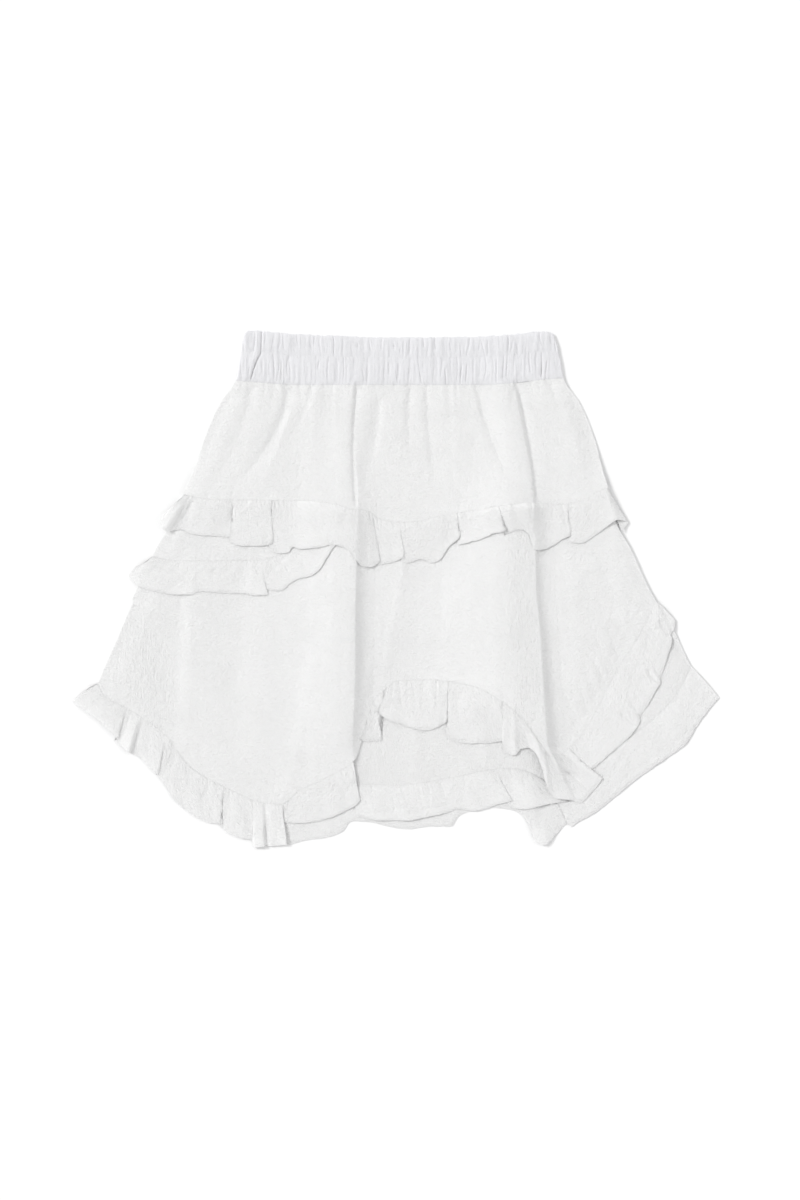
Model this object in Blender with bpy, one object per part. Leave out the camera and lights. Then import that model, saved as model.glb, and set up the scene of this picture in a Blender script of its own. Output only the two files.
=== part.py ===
"""Tiered ruffle skirt, laid flat on a surface.

Frame: X to the right across the skirt, Y from the hem to the waist, Z up from the surface that it lies on.
Lengths here are in millimetres, and MM turns them into Blender's metres.

The skirt is a flattened tube. Its back pieces lie on the surface and its front pieces lie on them, each let down
onto what is already there. Two deep folds, A and B, run from the waistband to the hem through the yoke and the
overskirt. The overskirt is one turn of a spiral tier: it starts beside fold A as the short tier, passes round the
back, and comes back at the right as the long front panel. The underskirt is the next turn, and shows below it.
"""

import bpy
import numpy as np

MM = 0.001

# Driving dimensions
CLOTH = 1.0  # wall of one layer of crinkled cotton
BAND = 2.4  # wall of the gathered casing with its elastic
SEAM_GAP = 0.4  # between pieces that are sewn edge to edge
LAYER_GAP = 0.45  # between pieces that lie on each other
GATHERS = 42  # gathers across the front of the band
GATHER_RISE = 0.9  # height of a gather over the band's plain inside
DRAPE = 4  # how far a layer spans what is under it before it comes down
STEEP_RISE = 10.0  # height from which a deep fold is at its steepest
CENTRE = (0.0, 1.18, 0.0)  # added to every point, so that the origin is the middle of the box's underside


def table(names, *rows):
    """The rows' columns by name."""
    return {name: np.array(column, float) for name, column in zip(names.split(), zip(*rows))}


# The front's side edges and the two deep folds' edges, from the waist down.
LINES = table(
    "y left fold_a fold_b right",
    (192, -107, -31, 84, 115),
    (155, -118, -31, 86, 124),
    (137, -130, -32, 90, 136),
    (110, -142, -31, 95, 147),
    (88, -149, -29, 99.5, 152.5),
    (70, -157, -28, 101, 158),
    (48, -166, -28.5, 102, 163),
    (30, -177, -29, 103, 173),
    (0, -190, -29.5, 103.5, 187),
    (-30, -203, -30, 106.5, 205),
    (-55, -214, -30, 108, 217),
    (-90, -229, -31, 110, 240),
    (-115, -240, -32, 112, 256),
    (-131, -247, -30, 120, 266),
    (-145, -253, -27, 125, 275),
    (-160, -259, -25, 132, 284),
)

# Deep folds down the skirt: their height, and the width of the cloth that climbs to them.
DEEP = table(
    "y rise_a rise_b climb_a climb_b",
    (160, 1.2, 1.6, 10, 14),
    (140, 2.2, 3.2, 14, 18),
    (100, 4.0, 5.5, 20, 24),
    (65, 5.5, 7.5, 24, 30),
    (20, 8.0, 9.5, 30, 42),
    (-50, 10.5, 12.0, 34, 52),
    (-110, 11.5, 13.5, 34, 54),
    (-160, 9.0, 12.0, 30, 46),
)

# Across a deep fold: place along the cloth and shares of its height. Left of the edge the place is a share of the
# climb. Right of it the two columns give the distance from the edge where the fold is low, and where it is steep.
CROSS = table(
    "place low steep share_a share_b",
    (-1.00, 0.0, 0.0, 0.0, 0.0),
    (-0.74, 0.0, 0.0, 0.16, 0.36),
    (-0.50, 0.0, 0.0, 0.46, 0.84),
    (-0.32, 0.0, 0.0, 0.80, 1.0),
    (-0.18, 0.0, 0.0, 0.98, 0.95),
    (-0.06, 0.0, 0.0, 0.98, 0.80),
    (0.00, 0.0, 0.0, 0.84, 0.66),
    (0.08, 1.4, 1.0, 0.64, 0.50),
    (0.16, 2.6, 1.9, 0.42, 0.34),
    (0.26, 3.9, 2.8, 0.22, 0.19),
    (0.36, 5.2, 4.0, 0.07, 0.06),
    (0.60, 7.5, 6.6, 0.0, 0.0),
    (1.00, 12.0, 11.5, 0.0, 0.0),
)

# Soft folds that spread from the gathers: two ends, half width and height. Negative heights are troughs.
SOFT = table(
    "x1 y1 x2 y2 half_width height",
    (-100, 150, -118, 96, 9, 1.4),
    (-80, 152, -98, 108, 6, -1.3),
    (-98, 108, -126, 62, 7, -1.2),
    (-64, 146, -66, 88, 7, 1.8),
    (-92, 110, -97, 66, 6, 1.2),
    (-7, 134, -22, 70, 5, -1.6),
    (12, 150, 9, 108, 4, -1.3),
    (22, 152, 25, 104, 4, -1.2),
    (29, 96, 30, 62, 5, 1.3),
    (60, 148, 92, 72, 5, -1.8),
    (76, 146, 84, 100, 6, 1.6),
    (97, 154, 101, 130, 4, -1.2),
    (122, 140, 132, 76, 7, 1.4),
    (-152, -8, -157, -112, 8, 1.8),
    (-176, -20, -184, -92, 9, 1.2),
    (-120, -12, -126, -120, 10, 1.0),
    (-66, -66, -88, -160, 6, 1.9),
    (2, 12, -7, -70, 7, 1.6),
    (32, 22, 33, -44, 6, 1.0),
    (160, 16, 186, -24, 10, 1.2),
)

# Lower edges of the pieces, where their ruffles are sewn on.
YOKE_EDGE = table(
    "x y",
    (-160, 70),
    (-150, 68),
    (-134, 65.5),
    (-70, 65),
    (-44, 62),
    (-33, 58.5),
    (-23, 57.5),
    (-12, 51.5),
    (0, 49),
    (12, 49),
    (30, 53),
    (60, 58),
    (100, 63),
    (122, 62),
    (138, 65),
    (148, 71),
    (160, 75.5),
)
SHORT_EDGE = table(
    "x y",
    (-181, 24),
    (-170, 21.5),
    (-157, 20.5),
    (-104, 21),
    (-90, 23.5),
    (-77, 29),
    (-64, 36),
    (-50, 45.5),
    (-38, 54),
)
OVER_EDGE = table(
    "x y",
    (-222, -67),
    (-216, -79),
    (-198, -89),
    (-185, -97.5),
    (-169, -110),
    (-156, -128),
    (-146, -136.5),
    (-124, -148),
    (-98, -158.5),
    (-85, -159.5),
    (-71, -149),
    (-50, -139),
    (-31, -127),
    (-26, -108),
    (-19, -87),
    (-10, -76),
    (3, -68),
    (25, -67.5),
    (55, -71.5),
    (77, -82.5),
    (92, -95),
    (108, -116),
    (114, -124),
    (121, -122),
    (131, -115),
    (140, -104),
    (151, -85),
    (164, -59),
    (173, -45.5),
    (181, -32),
    (188, -18),
    (193, -6),
)
UNDER_EDGE = table(
    "x y",
    (-60, -140),
    (-33, -144),
    (3, -145.5),
    (26, -142.5),
    (40, -140),
    (60, -136),
    (77, -133),
    (92, -134),
    (107, -140),
    (115, -145.5),
    (130, -139),
    (154, -124),
    (177, -107),
    (198, -89),
    (206, -80),
    (212, -70.5),
    (219, -56),
)
BACK_EDGES = table(
    "x over_y under_y",
    (-230, 26, -66),
    (-200, 22, -88),
    (-160, 14, -122),
    (-110, 6, -150),
    (-60, 2, -155),
    (0, 2, -152),
    (50, 3, -150),
    (100, 4, -142),
    (150, 2, -116),
    (200, -4, -82),
    (230, -8, -60),
)

# Ruffles, a row for each fold or hollow along them: where it leaves the seam, where it reaches the hem, and its
# height there. Where a fold lies over on its neighbour, the next row goes back under it.
TOP_RUFFLE = table(
    "seam x y rise",
    (-157, -166.5, 59.5, 1.0),
    (-156, -174, 50, 4.5),
    (-152.5, -169.5, 42, 6.5),
    (-148, -159, 43.5, 1.0),
    (-140.5, -149.5, 40, 2.6),
    (-131.5, -138.5, 39, 3.0),
    (-124.5, -128, 38.5, 1.2),
    (-120, -123.5, 35, 3.2),
    (-112.5, -114, 31.5, 5.0),
    (-99, -99, 31.5, 4.8),
    (-93, -90.5, 33.5, 3.6),
    (-91, -93, 36, 0.9),
    (-87.5, -82, 34, 1.6),
    (-74.5, -69, 29, 3.2),
    (-57.5, -59, 30, 2.2),
    (-45, -47.5, 32, 1.2),
    (-34, -35.5, 29, 2.6),
    (-29, -29, 20.5, 2.6),
    (-24.5, -24.5, 16.5, 1.0),
    (-21.5, -17, 16, 3.6),
    (-18.5, -11, 21, 3.8),
    (-16.5, -13.5, 17.5, 0.9),
    (-7.5, -2, 19.5, 1.8),
    (1.5, 6.5, 23, 4.2),
    (4.5, 4, 20, 0.9),
    (18, 18, 21.5, 2.8),
    (30, 30, 20, 1.4),
    (38.5, 38.5, 30, 3.2),
    (44.5, 48, 38, 4.6),
    (46.5, 45, 32, 0.9),
    (55, 63, 36.5, 1.8),
    (66, 72.5, 40.5, 3.2),
    (74, 83, 42, 4.0),
    (77, 79, 39, 0.9),
    (88, 92, 43, 2.4),
    (98, 100, 36, 2.2),
    (107.5, 106.5, 28.5, 0.9),
    (114.5, 115.5, 31.5, 2.0),
    (126, 129.5, 39, 4.2),
    (128, 126.5, 34.5, 0.9),
    (136, 136, 33.5, 2.0),
    (145, 146.5, 39, 3.6),
    (151.5, 157, 47, 6.0),
    (155.5, 171.5, 49, 4.6),
    (158, 166.5, 42.5, 1.0),
)
SHORT_RUFFLE = table(
    "seam x y rise",
    (-181, -191.5, 16.5, 0.5),
    (-178.5, -197.5, 9, 1.8),
    (-173, -188.5, 0.5, 2.4),
    (-166, -176, -2.5, 1.4),
    (-154, -160, -4.5, 3.0),
    (-145, -146, -2.5, 1.0),
    (-131.5, -131.5, -3, 2.8),
    (-123, -121.5, -3.5, 1.4),
    (-108, -105, -5, 3.4),
    (-99.5, -94.5, -4, 1.4),
    (-92.5, -84.5, -1, 2.6),
    (-86, -78, 4.5, 1.2),
    (-77, -63.5, 9, 2.8),
    (-71, -56, 14.5, 1.6),
    (-64.5, -50.5, 23.5, 2.0),
    (-57.5, -46, 30.5, 1.2),
    (-50.5, -40, 36.5, 0.8),
)
OVER_RUFFLE_LEFT = table(
    "seam x y rise",
    (-222, -231, -73, 0.6),
    (-221, -239, -83, 2.4),
    (-217.5, -232, -89, 2.8),
    (-212.5, -224, -93.5, 1.4),
    (-205.5, -214.5, -102, 2.8),
    (-200, -206, -111, 5.0),
    (-197.5, -209.5, -113, 0.9),
    (-193.5, -202, -117, 2.2),
    (-189.5, -197, -121, 5.6),
    (-185, -191.5, -122.5, 0.6),
    (-181.5, -188.5, -124.5, 5.2),
    (-176, -180, -134, 5.4),
    (-167, -173, -138, 0.9),
    (-162, -168, -150, 3.0),
    (-152.5, -157, -163, 1.4),
    (-145, -148, -169, 2.6),
    (-136, -137, -173.5, 1.6),
    (-129, -128, -174.5, 4.0),
    (-126, -131, -177, 0.9),
    (-114, -114, -184.5, 3.0),
    (-107.5, -107.5, -186, 1.2),
    (-102, -102, -191.5, 4.0),
    (-96, -96, -189, 0.9),
    (-90, -90, -190.5, 4.0),
    (-85, -80.5, -188, 3.0),
    (-82, -85, -178, 0.9),
    (-70.5, -69.5, -173.5, 2.6),
    (-59, -57.5, -172, 1.4),
    (-46, -43, -167, 3.2),
    (-35, -31, -160, 8.0),
)
OVER_RUFFLE_RIGHT = table(
    "seam x y rise",
    (-30, -26.5, -146, 6.0),
    (-27.5, -24, -132, 3.0),
    (-24.5, -20.5, -120, 1.2),
    (-20.5, -17.5, -113, 1.0),
    (-13, -12, -112.5, 1.4),
    (-9, -8, -95, 3.8),
    (5, 2, -99, 5.0),
    (16.5, 13.5, -103.5, 4.8),
    (31, 29.5, -103, 4.4),
    (37.5, 38.5, -98, 4.4),
    (40, 36.5, -107.5, 0.9),
    (53.5, 55.5, -114.5, 3.0),
    (64, 69, -114.5, 1.8),
    (76, 82, -114, 3.6),
    (82, 82, -121, 1.2),
    (88, 89, -122, 6.0),
    (95, 97, -118, 10.0),
    (101, 104, -123, 10.5),
    (107, 110, -141, 9.0),
    (112, 119, -155, 6.0),
    (114.5, 128, -157.5, 3.0),
    (117, 131, -158.5, 1.0),
    (121, 140, -157, 1.4),
    (126, 152, -141, 4.0),
    (129, 142, -137.5, 0.9),
    (136, 159, -121.5, 2.4),
    (142.5, 168.5, -113.5, 1.2),
    (148, 178.5, -101, 3.2),
    (153, 182, -92, 1.0),
    (160, 193, -74, 3.0),
    (165.5, 195.5, -66, 1.0),
    (175, 201.5, -47, 2.8),
    (183, 204.5, -35, 1.0),
    (188, 206, -28, 2.2),
    (192.5, 202, -17, 0.8),
)
UNDER_RUFFLE = table(
    "seam x y rise",
    (-33, -29, -168.5, 0.8),
    (-15, -10.5, -171.5, 2.6),
    (-5, -1.5, -171, 1.0),
    (3, 9, -171.5, 2.6),
    (15, 20.5, -169.5, 1.2),
    (28, 34.5, -166.5, 2.8),
    (38, 44.5, -163, 1.4),
    (49, 57, -164.5, 2.8),
    (59, 67.5, -162.5, 1.4),
    (72, 83, -159, 3.6),
    (79, 88, -163, 1.2),
    (90, 99, -163, 3.0),
    (98, 106, -162, 2.4),
    (104, 110, -166, 1.2),
    (109, 115, -174, 1.0),
    (116, 125, -176.5, 1.2),
    (130, 145, -167, 3.0),
    (142, 157.5, -158, 1.4),
    (154, 170, -147, 3.0),
    (166, 183, -137.5, 1.4),
    (177.5, 195.5, -128.5, 3.0),
    (189, 207, -121, 1.2),
    (199, 216, -112, 2.8),
    (207, 223.5, -101, 1.2),
    (213, 231, -90, 2.2),
    (218.5, 239, -80.5, 0.8),
)
BACK_RUFFLE = table(
    "seam x y rise",
    (-221, -236, -82, 0.0),
    (-200, -212, -103, 0.0),
    (-170, -180, -130, 0.0),
    (-130, -138, -168, 0.0),
    (-98, -100, -186.5, 1.6),
    (-84, -82, -189.5, 0.0),
    (-72, -66, -186, 1.6),
    (-60, -53, -184.5, 0.0),
    (-48, -40, -180, 1.8),
    (-38, -33, -172, 0.0),
    (-26, -18, -173, 1.4),
    (-12, -4, -176.5, 0.0),
    (2, 9, -178, 1.8),
    (18, 26, -176, 0.0),
    (32, 41, -176, 1.6),
    (40, 46, -169, 0.0),
    (62, 66, -162, 0.0),
    (78, 86, -164, 0.0),
    (90, 98, -174, 1.0),
    (98, 103, -187, 2.4),
    (104, 110, -189.5, 0.0),
    (110, 118, -182, 2.4),
    (120, 130, -170, 0.0),
    (150, 166, -142, 0.0),
    (190, 208, -112, 0.0),
    (217, 236, -81, 0.0),
)

# ---------------------------------------------------------------- curves


def slopes(xs, ys):
    """Slopes at the knots that keep a cubic between them from overshooting."""
    steps = np.diff(ys) / np.diff(xs)
    same_way = steps[:-1] * steps[1:] > 0
    mean = 2 * steps[:-1] * steps[1:] / np.where(same_way, steps[:-1] + steps[1:], 1)
    return np.concatenate([[steps[0]], np.where(same_way, mean, 0), [steps[-1]]])


def curve(at, xs, ys):
    """A smooth curve through the knots, read at those places. Past either end it holds the end value."""
    if xs[0] > xs[-1]:
        xs, ys = xs[::-1], ys[::-1]
    at = np.clip(np.asarray(at, float), xs[0], xs[-1])
    i = np.clip(np.searchsorted(xs, at) - 1, 0, len(xs) - 2)
    width = xs[i + 1] - xs[i]
    t = (at - xs[i]) / width
    m = slopes(xs, ys)
    ends = (1 + 2 * t) * (1 - t) ** 2 * ys[i] + t * t * (3 - 2 * t) * ys[i + 1]
    return ends + t * (1 - t) * width * ((1 - t) * m[i] - t * m[i + 1])


def line(name, y):
    return curve(y, LINES["y"], LINES[name])


def edge(rows, column="y"):
    """A lower edge as a function of the place across the skirt."""
    return lambda x: curve(x, rows["x"], rows[column])


def ease(t):
    t = np.clip(t, 0, 1)
    return t * t * (3 - 2 * t)


# ---------------------------------------------------------------- what lies below


class Pile:
    """How high the cloth lies, on a grid of 1 mm cells: as it is, and with its folds and waves left out.

    What is laid down counts for the next pieces from the next settle on."""

    HALF_X, HALF_Y = 270, 230

    def __init__(self):
        empty = np.zeros((2 * self.HALF_Y, 2 * self.HALF_X))
        self.height = {"folded": empty, "flat": empty.copy()}
        self.settled = dict(self.height)
        self.ground = empty.copy()

    def cell(self, x, y):
        i = np.clip(np.asarray(x) + self.HALF_X, 0, 2 * self.HALF_X - 1.001)
        j = np.clip(np.asarray(y) + self.HALF_Y, 0, 2 * self.HALF_Y - 1.001)
        return i, j

    def samples(self, points):
        """Places all over a grid of points: the grid's squares, their cells and their heights."""
        fine = np.linspace(0, 1, 13)
        for u in fine:
            rows = points[:-1] * (1 - u) + points[1:] * u
            for v in fine:
                x, y, z = np.moveaxis(rows[:, :-1] * (1 - v) + rows[:, 1:] * v, -1, 0)
                i, j = self.cell(x, y)
                yield j.astype(int), i.astype(int), z

    def add(self, kind, points):
        """Lays down a surface that is given as a grid of points."""
        for j, i, z in self.samples(points):
            np.maximum.at(self.height[kind], (j, i), z)

    def lift_clear(self, points, drop):
        """Raises the points until the surface between them, less this drop, clears what lies below."""
        raised = points.copy()
        for _ in range(3):
            lack = np.zeros(points.shape[:2])
            for j, i, z in self.samples(raised):
                below = self.ground[j, i]
                short = np.where(below > 0, below + LAYER_GAP + drop - z, 0)
                for rows in (slice(None, -1), slice(1, None)):
                    for columns in (slice(None, -1), slice(1, None)):
                        lack[rows, columns] = np.maximum(lack[rows, columns], short)
            raised[..., 2] += lack
        return raised

    def settle(self, reach=DRAPE):
        """Works out the surface that the next layer lies on: it spans the pile's hollows and clears its tops."""
        self.ground = self.height["folded"].copy()
        shifts = range(-reach, reach + 1)
        for kind, height in self.height.items():
            level = np.where(height > 0, height + LAYER_GAP, 0)
            for axis in (0, 1):
                level = np.max([np.roll(level, shift, axis) for shift in shifts], axis=0)
            for axis in (0, 1):
                level = np.mean([np.roll(level, shift, axis) for shift in shifts], axis=0)
            self.settled[kind] = level

    def rest(self, x, y, kind="folded"):
        """The height of that surface."""
        i, j = self.cell(x, y)
        i0, j0 = i.astype(int), j.astype(int)
        u, v = i - i0, j - j0
        level = self.settled[kind]
        low = level[j0, i0] * (1 - u) + level[j0, i0 + 1] * u
        high = level[j0 + 1, i0] * (1 - u) + level[j0 + 1, i0 + 1] * u
        return low * (1 - v) + high * v


# ---------------------------------------------------------------- meshes


def clear_scene():
    for thing in list(bpy.data.objects):
        bpy.data.objects.remove(thing, do_unlink=True)


def cotton(name, colour, roughness):
    material = bpy.data.materials.new(name)
    material.use_nodes = True
    shader = material.node_tree.nodes["Principled BSDF"]
    shader.inputs["Base Color"].default_value = (*colour, 1)
    shader.inputs["Roughness"].default_value = roughness
    return material


def grid_faces(rows, columns):
    at = np.arange(rows * columns).reshape(rows, columns)
    return np.stack([at[:-1, :-1], at[1:, :-1], at[1:, 1:], at[:-1, 1:]], axis=-1).reshape(-1, 4)


def mesh_object(name, points, faces, material):
    mesh = bpy.data.meshes.new(name)
    mesh.from_pydata(((points + np.array(CENTRE)) * MM).tolist(), [], faces.tolist())
    mesh.materials.append(material)
    mesh.shade_smooth()
    thing = bpy.data.objects.new(name, mesh)
    bpy.context.scene.collection.objects.link(thing)
    return thing


def lay_sheet(pile, name, points, flat_z, material):
    """A wall of cloth about a grid of points, rows from the top down and columns from left to right."""
    points = pile.lift_clear(points, CLOTH / 2)
    thing = mesh_object(name, points.reshape(-1, 3), grid_faces(*points.shape[:2]), material)
    wall = thing.modifiers.new("wall", "SOLIDIFY")
    wall.thickness = CLOTH * MM
    wall.offset = 0
    half = np.array([0, 0, 0.6 * CLOTH])
    pile.add("folded", points + half)
    pile.add("flat", np.concatenate([points[..., :2], flat_z[..., None]], axis=-1) + half)
    return points


def lay_band(pile, name, under, over, material):
    """A closed casing between a grid of points below and one above."""
    faces = grid_faces(*under.shape[:2])
    count = under.shape[0] * under.shape[1]
    at = np.arange(count).reshape(under.shape[:2])
    rim = np.concatenate([at[:, 0], at[-1, 1:], at[-2::-1, -1], at[0, -2:0:-1]])
    ahead = np.roll(rim, -1)
    sides = np.stack([rim, ahead, ahead + count, rim + count], axis=1)
    both = np.concatenate([under.reshape(-1, 3), over.reshape(-1, 3)])
    mesh_object(name, both, np.concatenate([faces[:, ::-1], faces + count, sides]), material)
    pile.add("folded", over)
    pile.add("flat", over)


# ---------------------------------------------------------------- panels


def cross_fold(fold, y):
    """X, height and place of a deep fold's columns at heights y. The place never turns back on itself."""
    rise = curve(y, DEEP["y"], DEEP["rise_" + fold])[:, None]
    climb = curve(y, DEEP["y"], DEEP["climb_" + fold])[:, None]
    crest = line("fold_" + fold, y)[:, None]
    steep = ease(rise / STEEP_RISE)
    place = CROSS["place"][None, :]
    right = CROSS["low"] * (1 - steep) + CROSS["steep"] * steep
    beyond = 12 * np.maximum(place, 0) ** 1.2
    x = crest + np.where(place < 0, place * climb, right)
    return x, rise * CROSS["share_" + fold], crest + np.where(place < 0, place * climb, beyond)


def spread(low, high, count):
    """Columns evenly between two edges, without the edges."""
    share = (np.arange(count) + 1) / (count + 1)
    return low[:, None] + share * (high - low)[:, None]


def plain(x):
    return x, np.zeros(x.shape), x


def across(y, counts, sides, folds):
    """X, fold height and place of every column at heights y, from the left edge to the right one."""
    left, right = (side(y)[:, None] for side in sides)
    if not folds:
        return plain(np.concatenate([left, spread(left[:, 0], right[:, 0], counts[0]), right], axis=1))
    a, b = cross_fold("a", y), cross_fold("b", y)
    stretches = (
        plain(left),
        plain(spread(left[:, 0], a[0][:, 0], counts[0])),
        a,
        plain(spread(a[0][:, -1], b[0][:, 0], counts[1])),
        b,
        plain(spread(b[0][:, -1], right[:, 0], counts[2])),
        plain(right),
    )
    return tuple(np.concatenate(parts, axis=1) for parts in zip(*stretches))


def soft_folds(x, y):
    """The soft folds' heights together."""
    total = np.zeros(np.shape(x))
    for x1, y1, x2, y2, half_width, height in zip(*SOFT.values()):
        t = (y1 - y) / (y1 - y2)
        off = (x - x1 - (x2 - x1) * t) / half_width
        total = total + height * ease(t * 6 + 1) * ease((1 - t) * 3 + 0.5) * np.exp(-off * off)
    return total


def front_side(name, inset=0.0):
    return lambda y: line(name, y) + inset


FRONT_SIDES = (front_side("left"), front_side("right"))
BACK_SIDES = (front_side("left", SEAM_GAP), front_side("right", -SEAM_GAP))


def down_to(side, bottom):
    """A side edge that goes straight down from its corner with the lower edge."""
    y = np.arange(200.0, -200.0, -0.5)
    corner = y[np.argmax(y <= bottom(side(y)))]
    return lambda y: side(np.maximum(y, corner))


def panel(pile, name, top, bottom, rows, counts, sides, material, folds=False, soft=0.0):
    """A panel between an upper and a lower edge, which give y for places across the skirt."""
    sides = [down_to(side, bottom) for side in sides]
    share = np.linspace(0, 1, rows)
    y = np.zeros((rows, across(np.zeros(1), counts, sides, folds)[0].shape[1]))
    for _ in range(6):
        for row in range(rows):
            place = np.diag(across(y[row], counts, sides, folds)[2])
            upper = top(place) - SEAM_GAP
            y[row] = upper + share[row] * (bottom(place) - upper)
    columns = [across(level, counts, sides, folds) for level in y]
    x, lift = (np.array([np.diag(found[k]) for found in columns]) for k in (0, 1))
    flat = pile.rest(x, y, "flat")
    folded = flat + lift + np.maximum(soft * (soft_folds(x, y) + 0.8), 0)
    z = np.maximum(folded, pile.rest(x, y)) + CLOTH / 2
    return lay_sheet(pile, name, np.stack([x, y, z], axis=-1), flat + CLOTH / 2, material)


# ---------------------------------------------------------------- ruffles

NEAR_COLUMN = 0.03  # a ruffle takes no column of the panel that lies this near to one of its own
LEAST_STEP = 0.8  # along a ruffle's hem, between the runs down to it


def keep_apart(hem, run):
    """Moves hem points along until none of the ruffle's runs down to the hem passes the one before it."""
    for k in range(1, len(hem)):
        x, y = run[k - 1] + run[k]
        step = (hem[k] - hem[k - 1]) / np.hypot(x, y)
        lack = LEAST_STEP - (x * step[1] - y * step[0])
        if lack > 0:
            hem[k] += lack * np.array([-y, x]) / np.hypot(x, y)


def ruffle(pile, name, panel_points, rows, steps, material):
    """A gathered strip from a panel's lower edge to its own hem, with the folds that the rows give."""
    seam = panel_points[-1]
    number = np.arange(len(seam))
    forward = np.maximum.accumulate(seam[:, 0]) + number * 1e-4
    at = np.interp(rows["seam"], forward, number) + np.arange(len(rows["seam"])) * 1e-4
    inner = number[(number > at[0]) & (number < at[-1])]
    apart = np.abs(inner[:, None] - at).min(axis=1) > NEAR_COLUMN
    places = np.sort(np.concatenate([at, inner[apart]]))
    hem_x, hem_y, rise = (curve(places, at, rows[column]) for column in ("x", "y", "rise"))
    start = np.stack([np.interp(places, number, seam[:, k]) for k in range(3)], axis=1)
    along = np.gradient(start[:, :2], axis=0)
    hem = np.stack([hem_x, hem_y], axis=1)
    run = hem - start[:, :2]
    run /= np.linalg.norm(run, axis=1)[:, None]
    along /= np.linalg.norm(along, axis=1)[:, None] + 1e-9
    square = np.abs(run[:, 0] * along[:, 1] - run[:, 1] * along[:, 0])
    start[:, :2] += run * (SEAM_GAP / np.maximum(square, 0.4))[:, None]
    keep_apart(hem, run)
    t = np.asarray(steps, float)[:, None]
    where = start[:, :2] * (1 - t[..., None]) + hem * t[..., None]
    rest = pile.rest(where[..., 0], where[..., 1])
    lift = np.maximum(start[:, 2] - CLOTH / 2 - rest[0], 0)
    z = rest + lift * (1 - t) ** 1.5 + rise * (1 - (1 - t) ** 1.6) + CLOTH / 2
    return lay_sheet(pile, name, np.concatenate([where, z[..., None]], axis=-1), rest + CLOTH / 2, material)


def pressed_ruffle(pile, name, panel_points, depth, columns, material):
    """A plain ruffle that the skirt's weight keeps flat."""
    seam = panel_points[-1]
    x = np.linspace(seam[0, 0], seam[-1, 0], columns)
    y = np.interp(x, seam[:, 0], seam[:, 1]) - depth
    rows = {"seam": x, "x": x * (1 + 0.5 * depth / x.max()), "y": y, "rise": np.zeros(columns)}
    return ruffle(pile, name, panel_points, rows, (0, 0.5, 1), material)


# ---------------------------------------------------------------- waistband


def waist_top(x):
    """The band's upper line, a little hollow in the middle."""
    return 188.5 - 3.0 * (1 - np.clip(np.abs(x) / 112, 0, 1) ** 2)


def waist_seam(x):
    """The seam under the band."""
    return 150.5 + 3.5 * ease((np.abs(x) - 70) / 60) + 1.5 * ease((x - 60) / 60)


# Down the band: place, thickness as a share of the casing's, and height as a share of the gathers'.
BAND_LEVELS = table(
    "place thick gather",
    (0.00, 0.5, 0.0),
    (0.10, 1.0, 0.6),
    (0.30, 1.0, 1.0),
    (0.50, 0.9, 0.3),
    (0.72, 1.0, 1.0),
    (0.94, 1.0, 0.7),
    (1.00, 0.7, 0.4),
)


def band(pile, name, inset, gathers, rise, material):
    """One side of the waistband: a plain inside, and gathers on the outside over two channels of elastic."""
    number = np.arange(2 * gathers + 1)
    share = number / number[-1]
    crest = (number % 2) * (0.75 + 0.25 * np.sin(number * 2.3))
    uneven = 0.22 / number[-1] * np.sin(number * 1.7) * (share > 0) * (share < 1)
    place, thick, gather = (values[:, None] for values in BAND_LEVELS.values())
    x = np.zeros((len(place), len(number)))
    for _ in range(4):
        top, seam = waist_top(x), waist_seam(x) + SEAM_GAP
        y = top + place * (seam - top)
        left, right = line("left", y) + inset, line("right", y) - inset
        x = left + (share + uneven) * (right - left)
    y[0] += 0.8 * rise * crest
    under = pile.rest(x, y)
    at_sides = ease(np.minimum(share, 1 - share) * 40 + 0.45)
    over = under + (BAND * thick + rise * gather * crest) * at_sides
    lay_band(pile, name, np.stack([x, y, under], axis=-1), np.stack([x, y, over], axis=-1), material)


# ---------------------------------------------------------------- the skirt

STEPS = (0, 0.3, 0.65, 1)  # down a ruffle, from its seam to its hem


def lay_back(pile, cloth, casing, yoke):
    """The back pieces, each settled on the ones before it. Those in one group lie side by side."""
    over, under = edge(BACK_EDGES, "over_y"), edge(BACK_EDGES, "under_y")
    yoke_back = panel(pile, "yoke_back", waist_seam, yoke_foot(yoke), 4, (10,), BACK_SIDES, cloth)
    pressed_ruffle(pile, "top_ruffle_back", yoke_back, 27, 22, cloth)
    band(pile, "waistband_back", SEAM_GAP, 9, 0.0, casing)
    pile.settle()
    over_back = panel(pile, "over_back", yoke, over, 5, (14,), BACK_SIDES, cloth)
    pressed_ruffle(pile, "over_ruffle_back", over_back, 27, 22, cloth)
    pile.settle()
    under_back = panel(pile, "under_back", yoke, under, 7, (16,), BACK_SIDES, cloth)
    ruffle(pile, "under_ruffle_back", under_back, BACK_RUFFLE, (0, 0.5, 1), cloth)


def yoke_foot(yoke):
    """The yoke's own lower edge, a gap above the seam."""
    return lambda x: yoke(x) + SEAM_GAP


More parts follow.
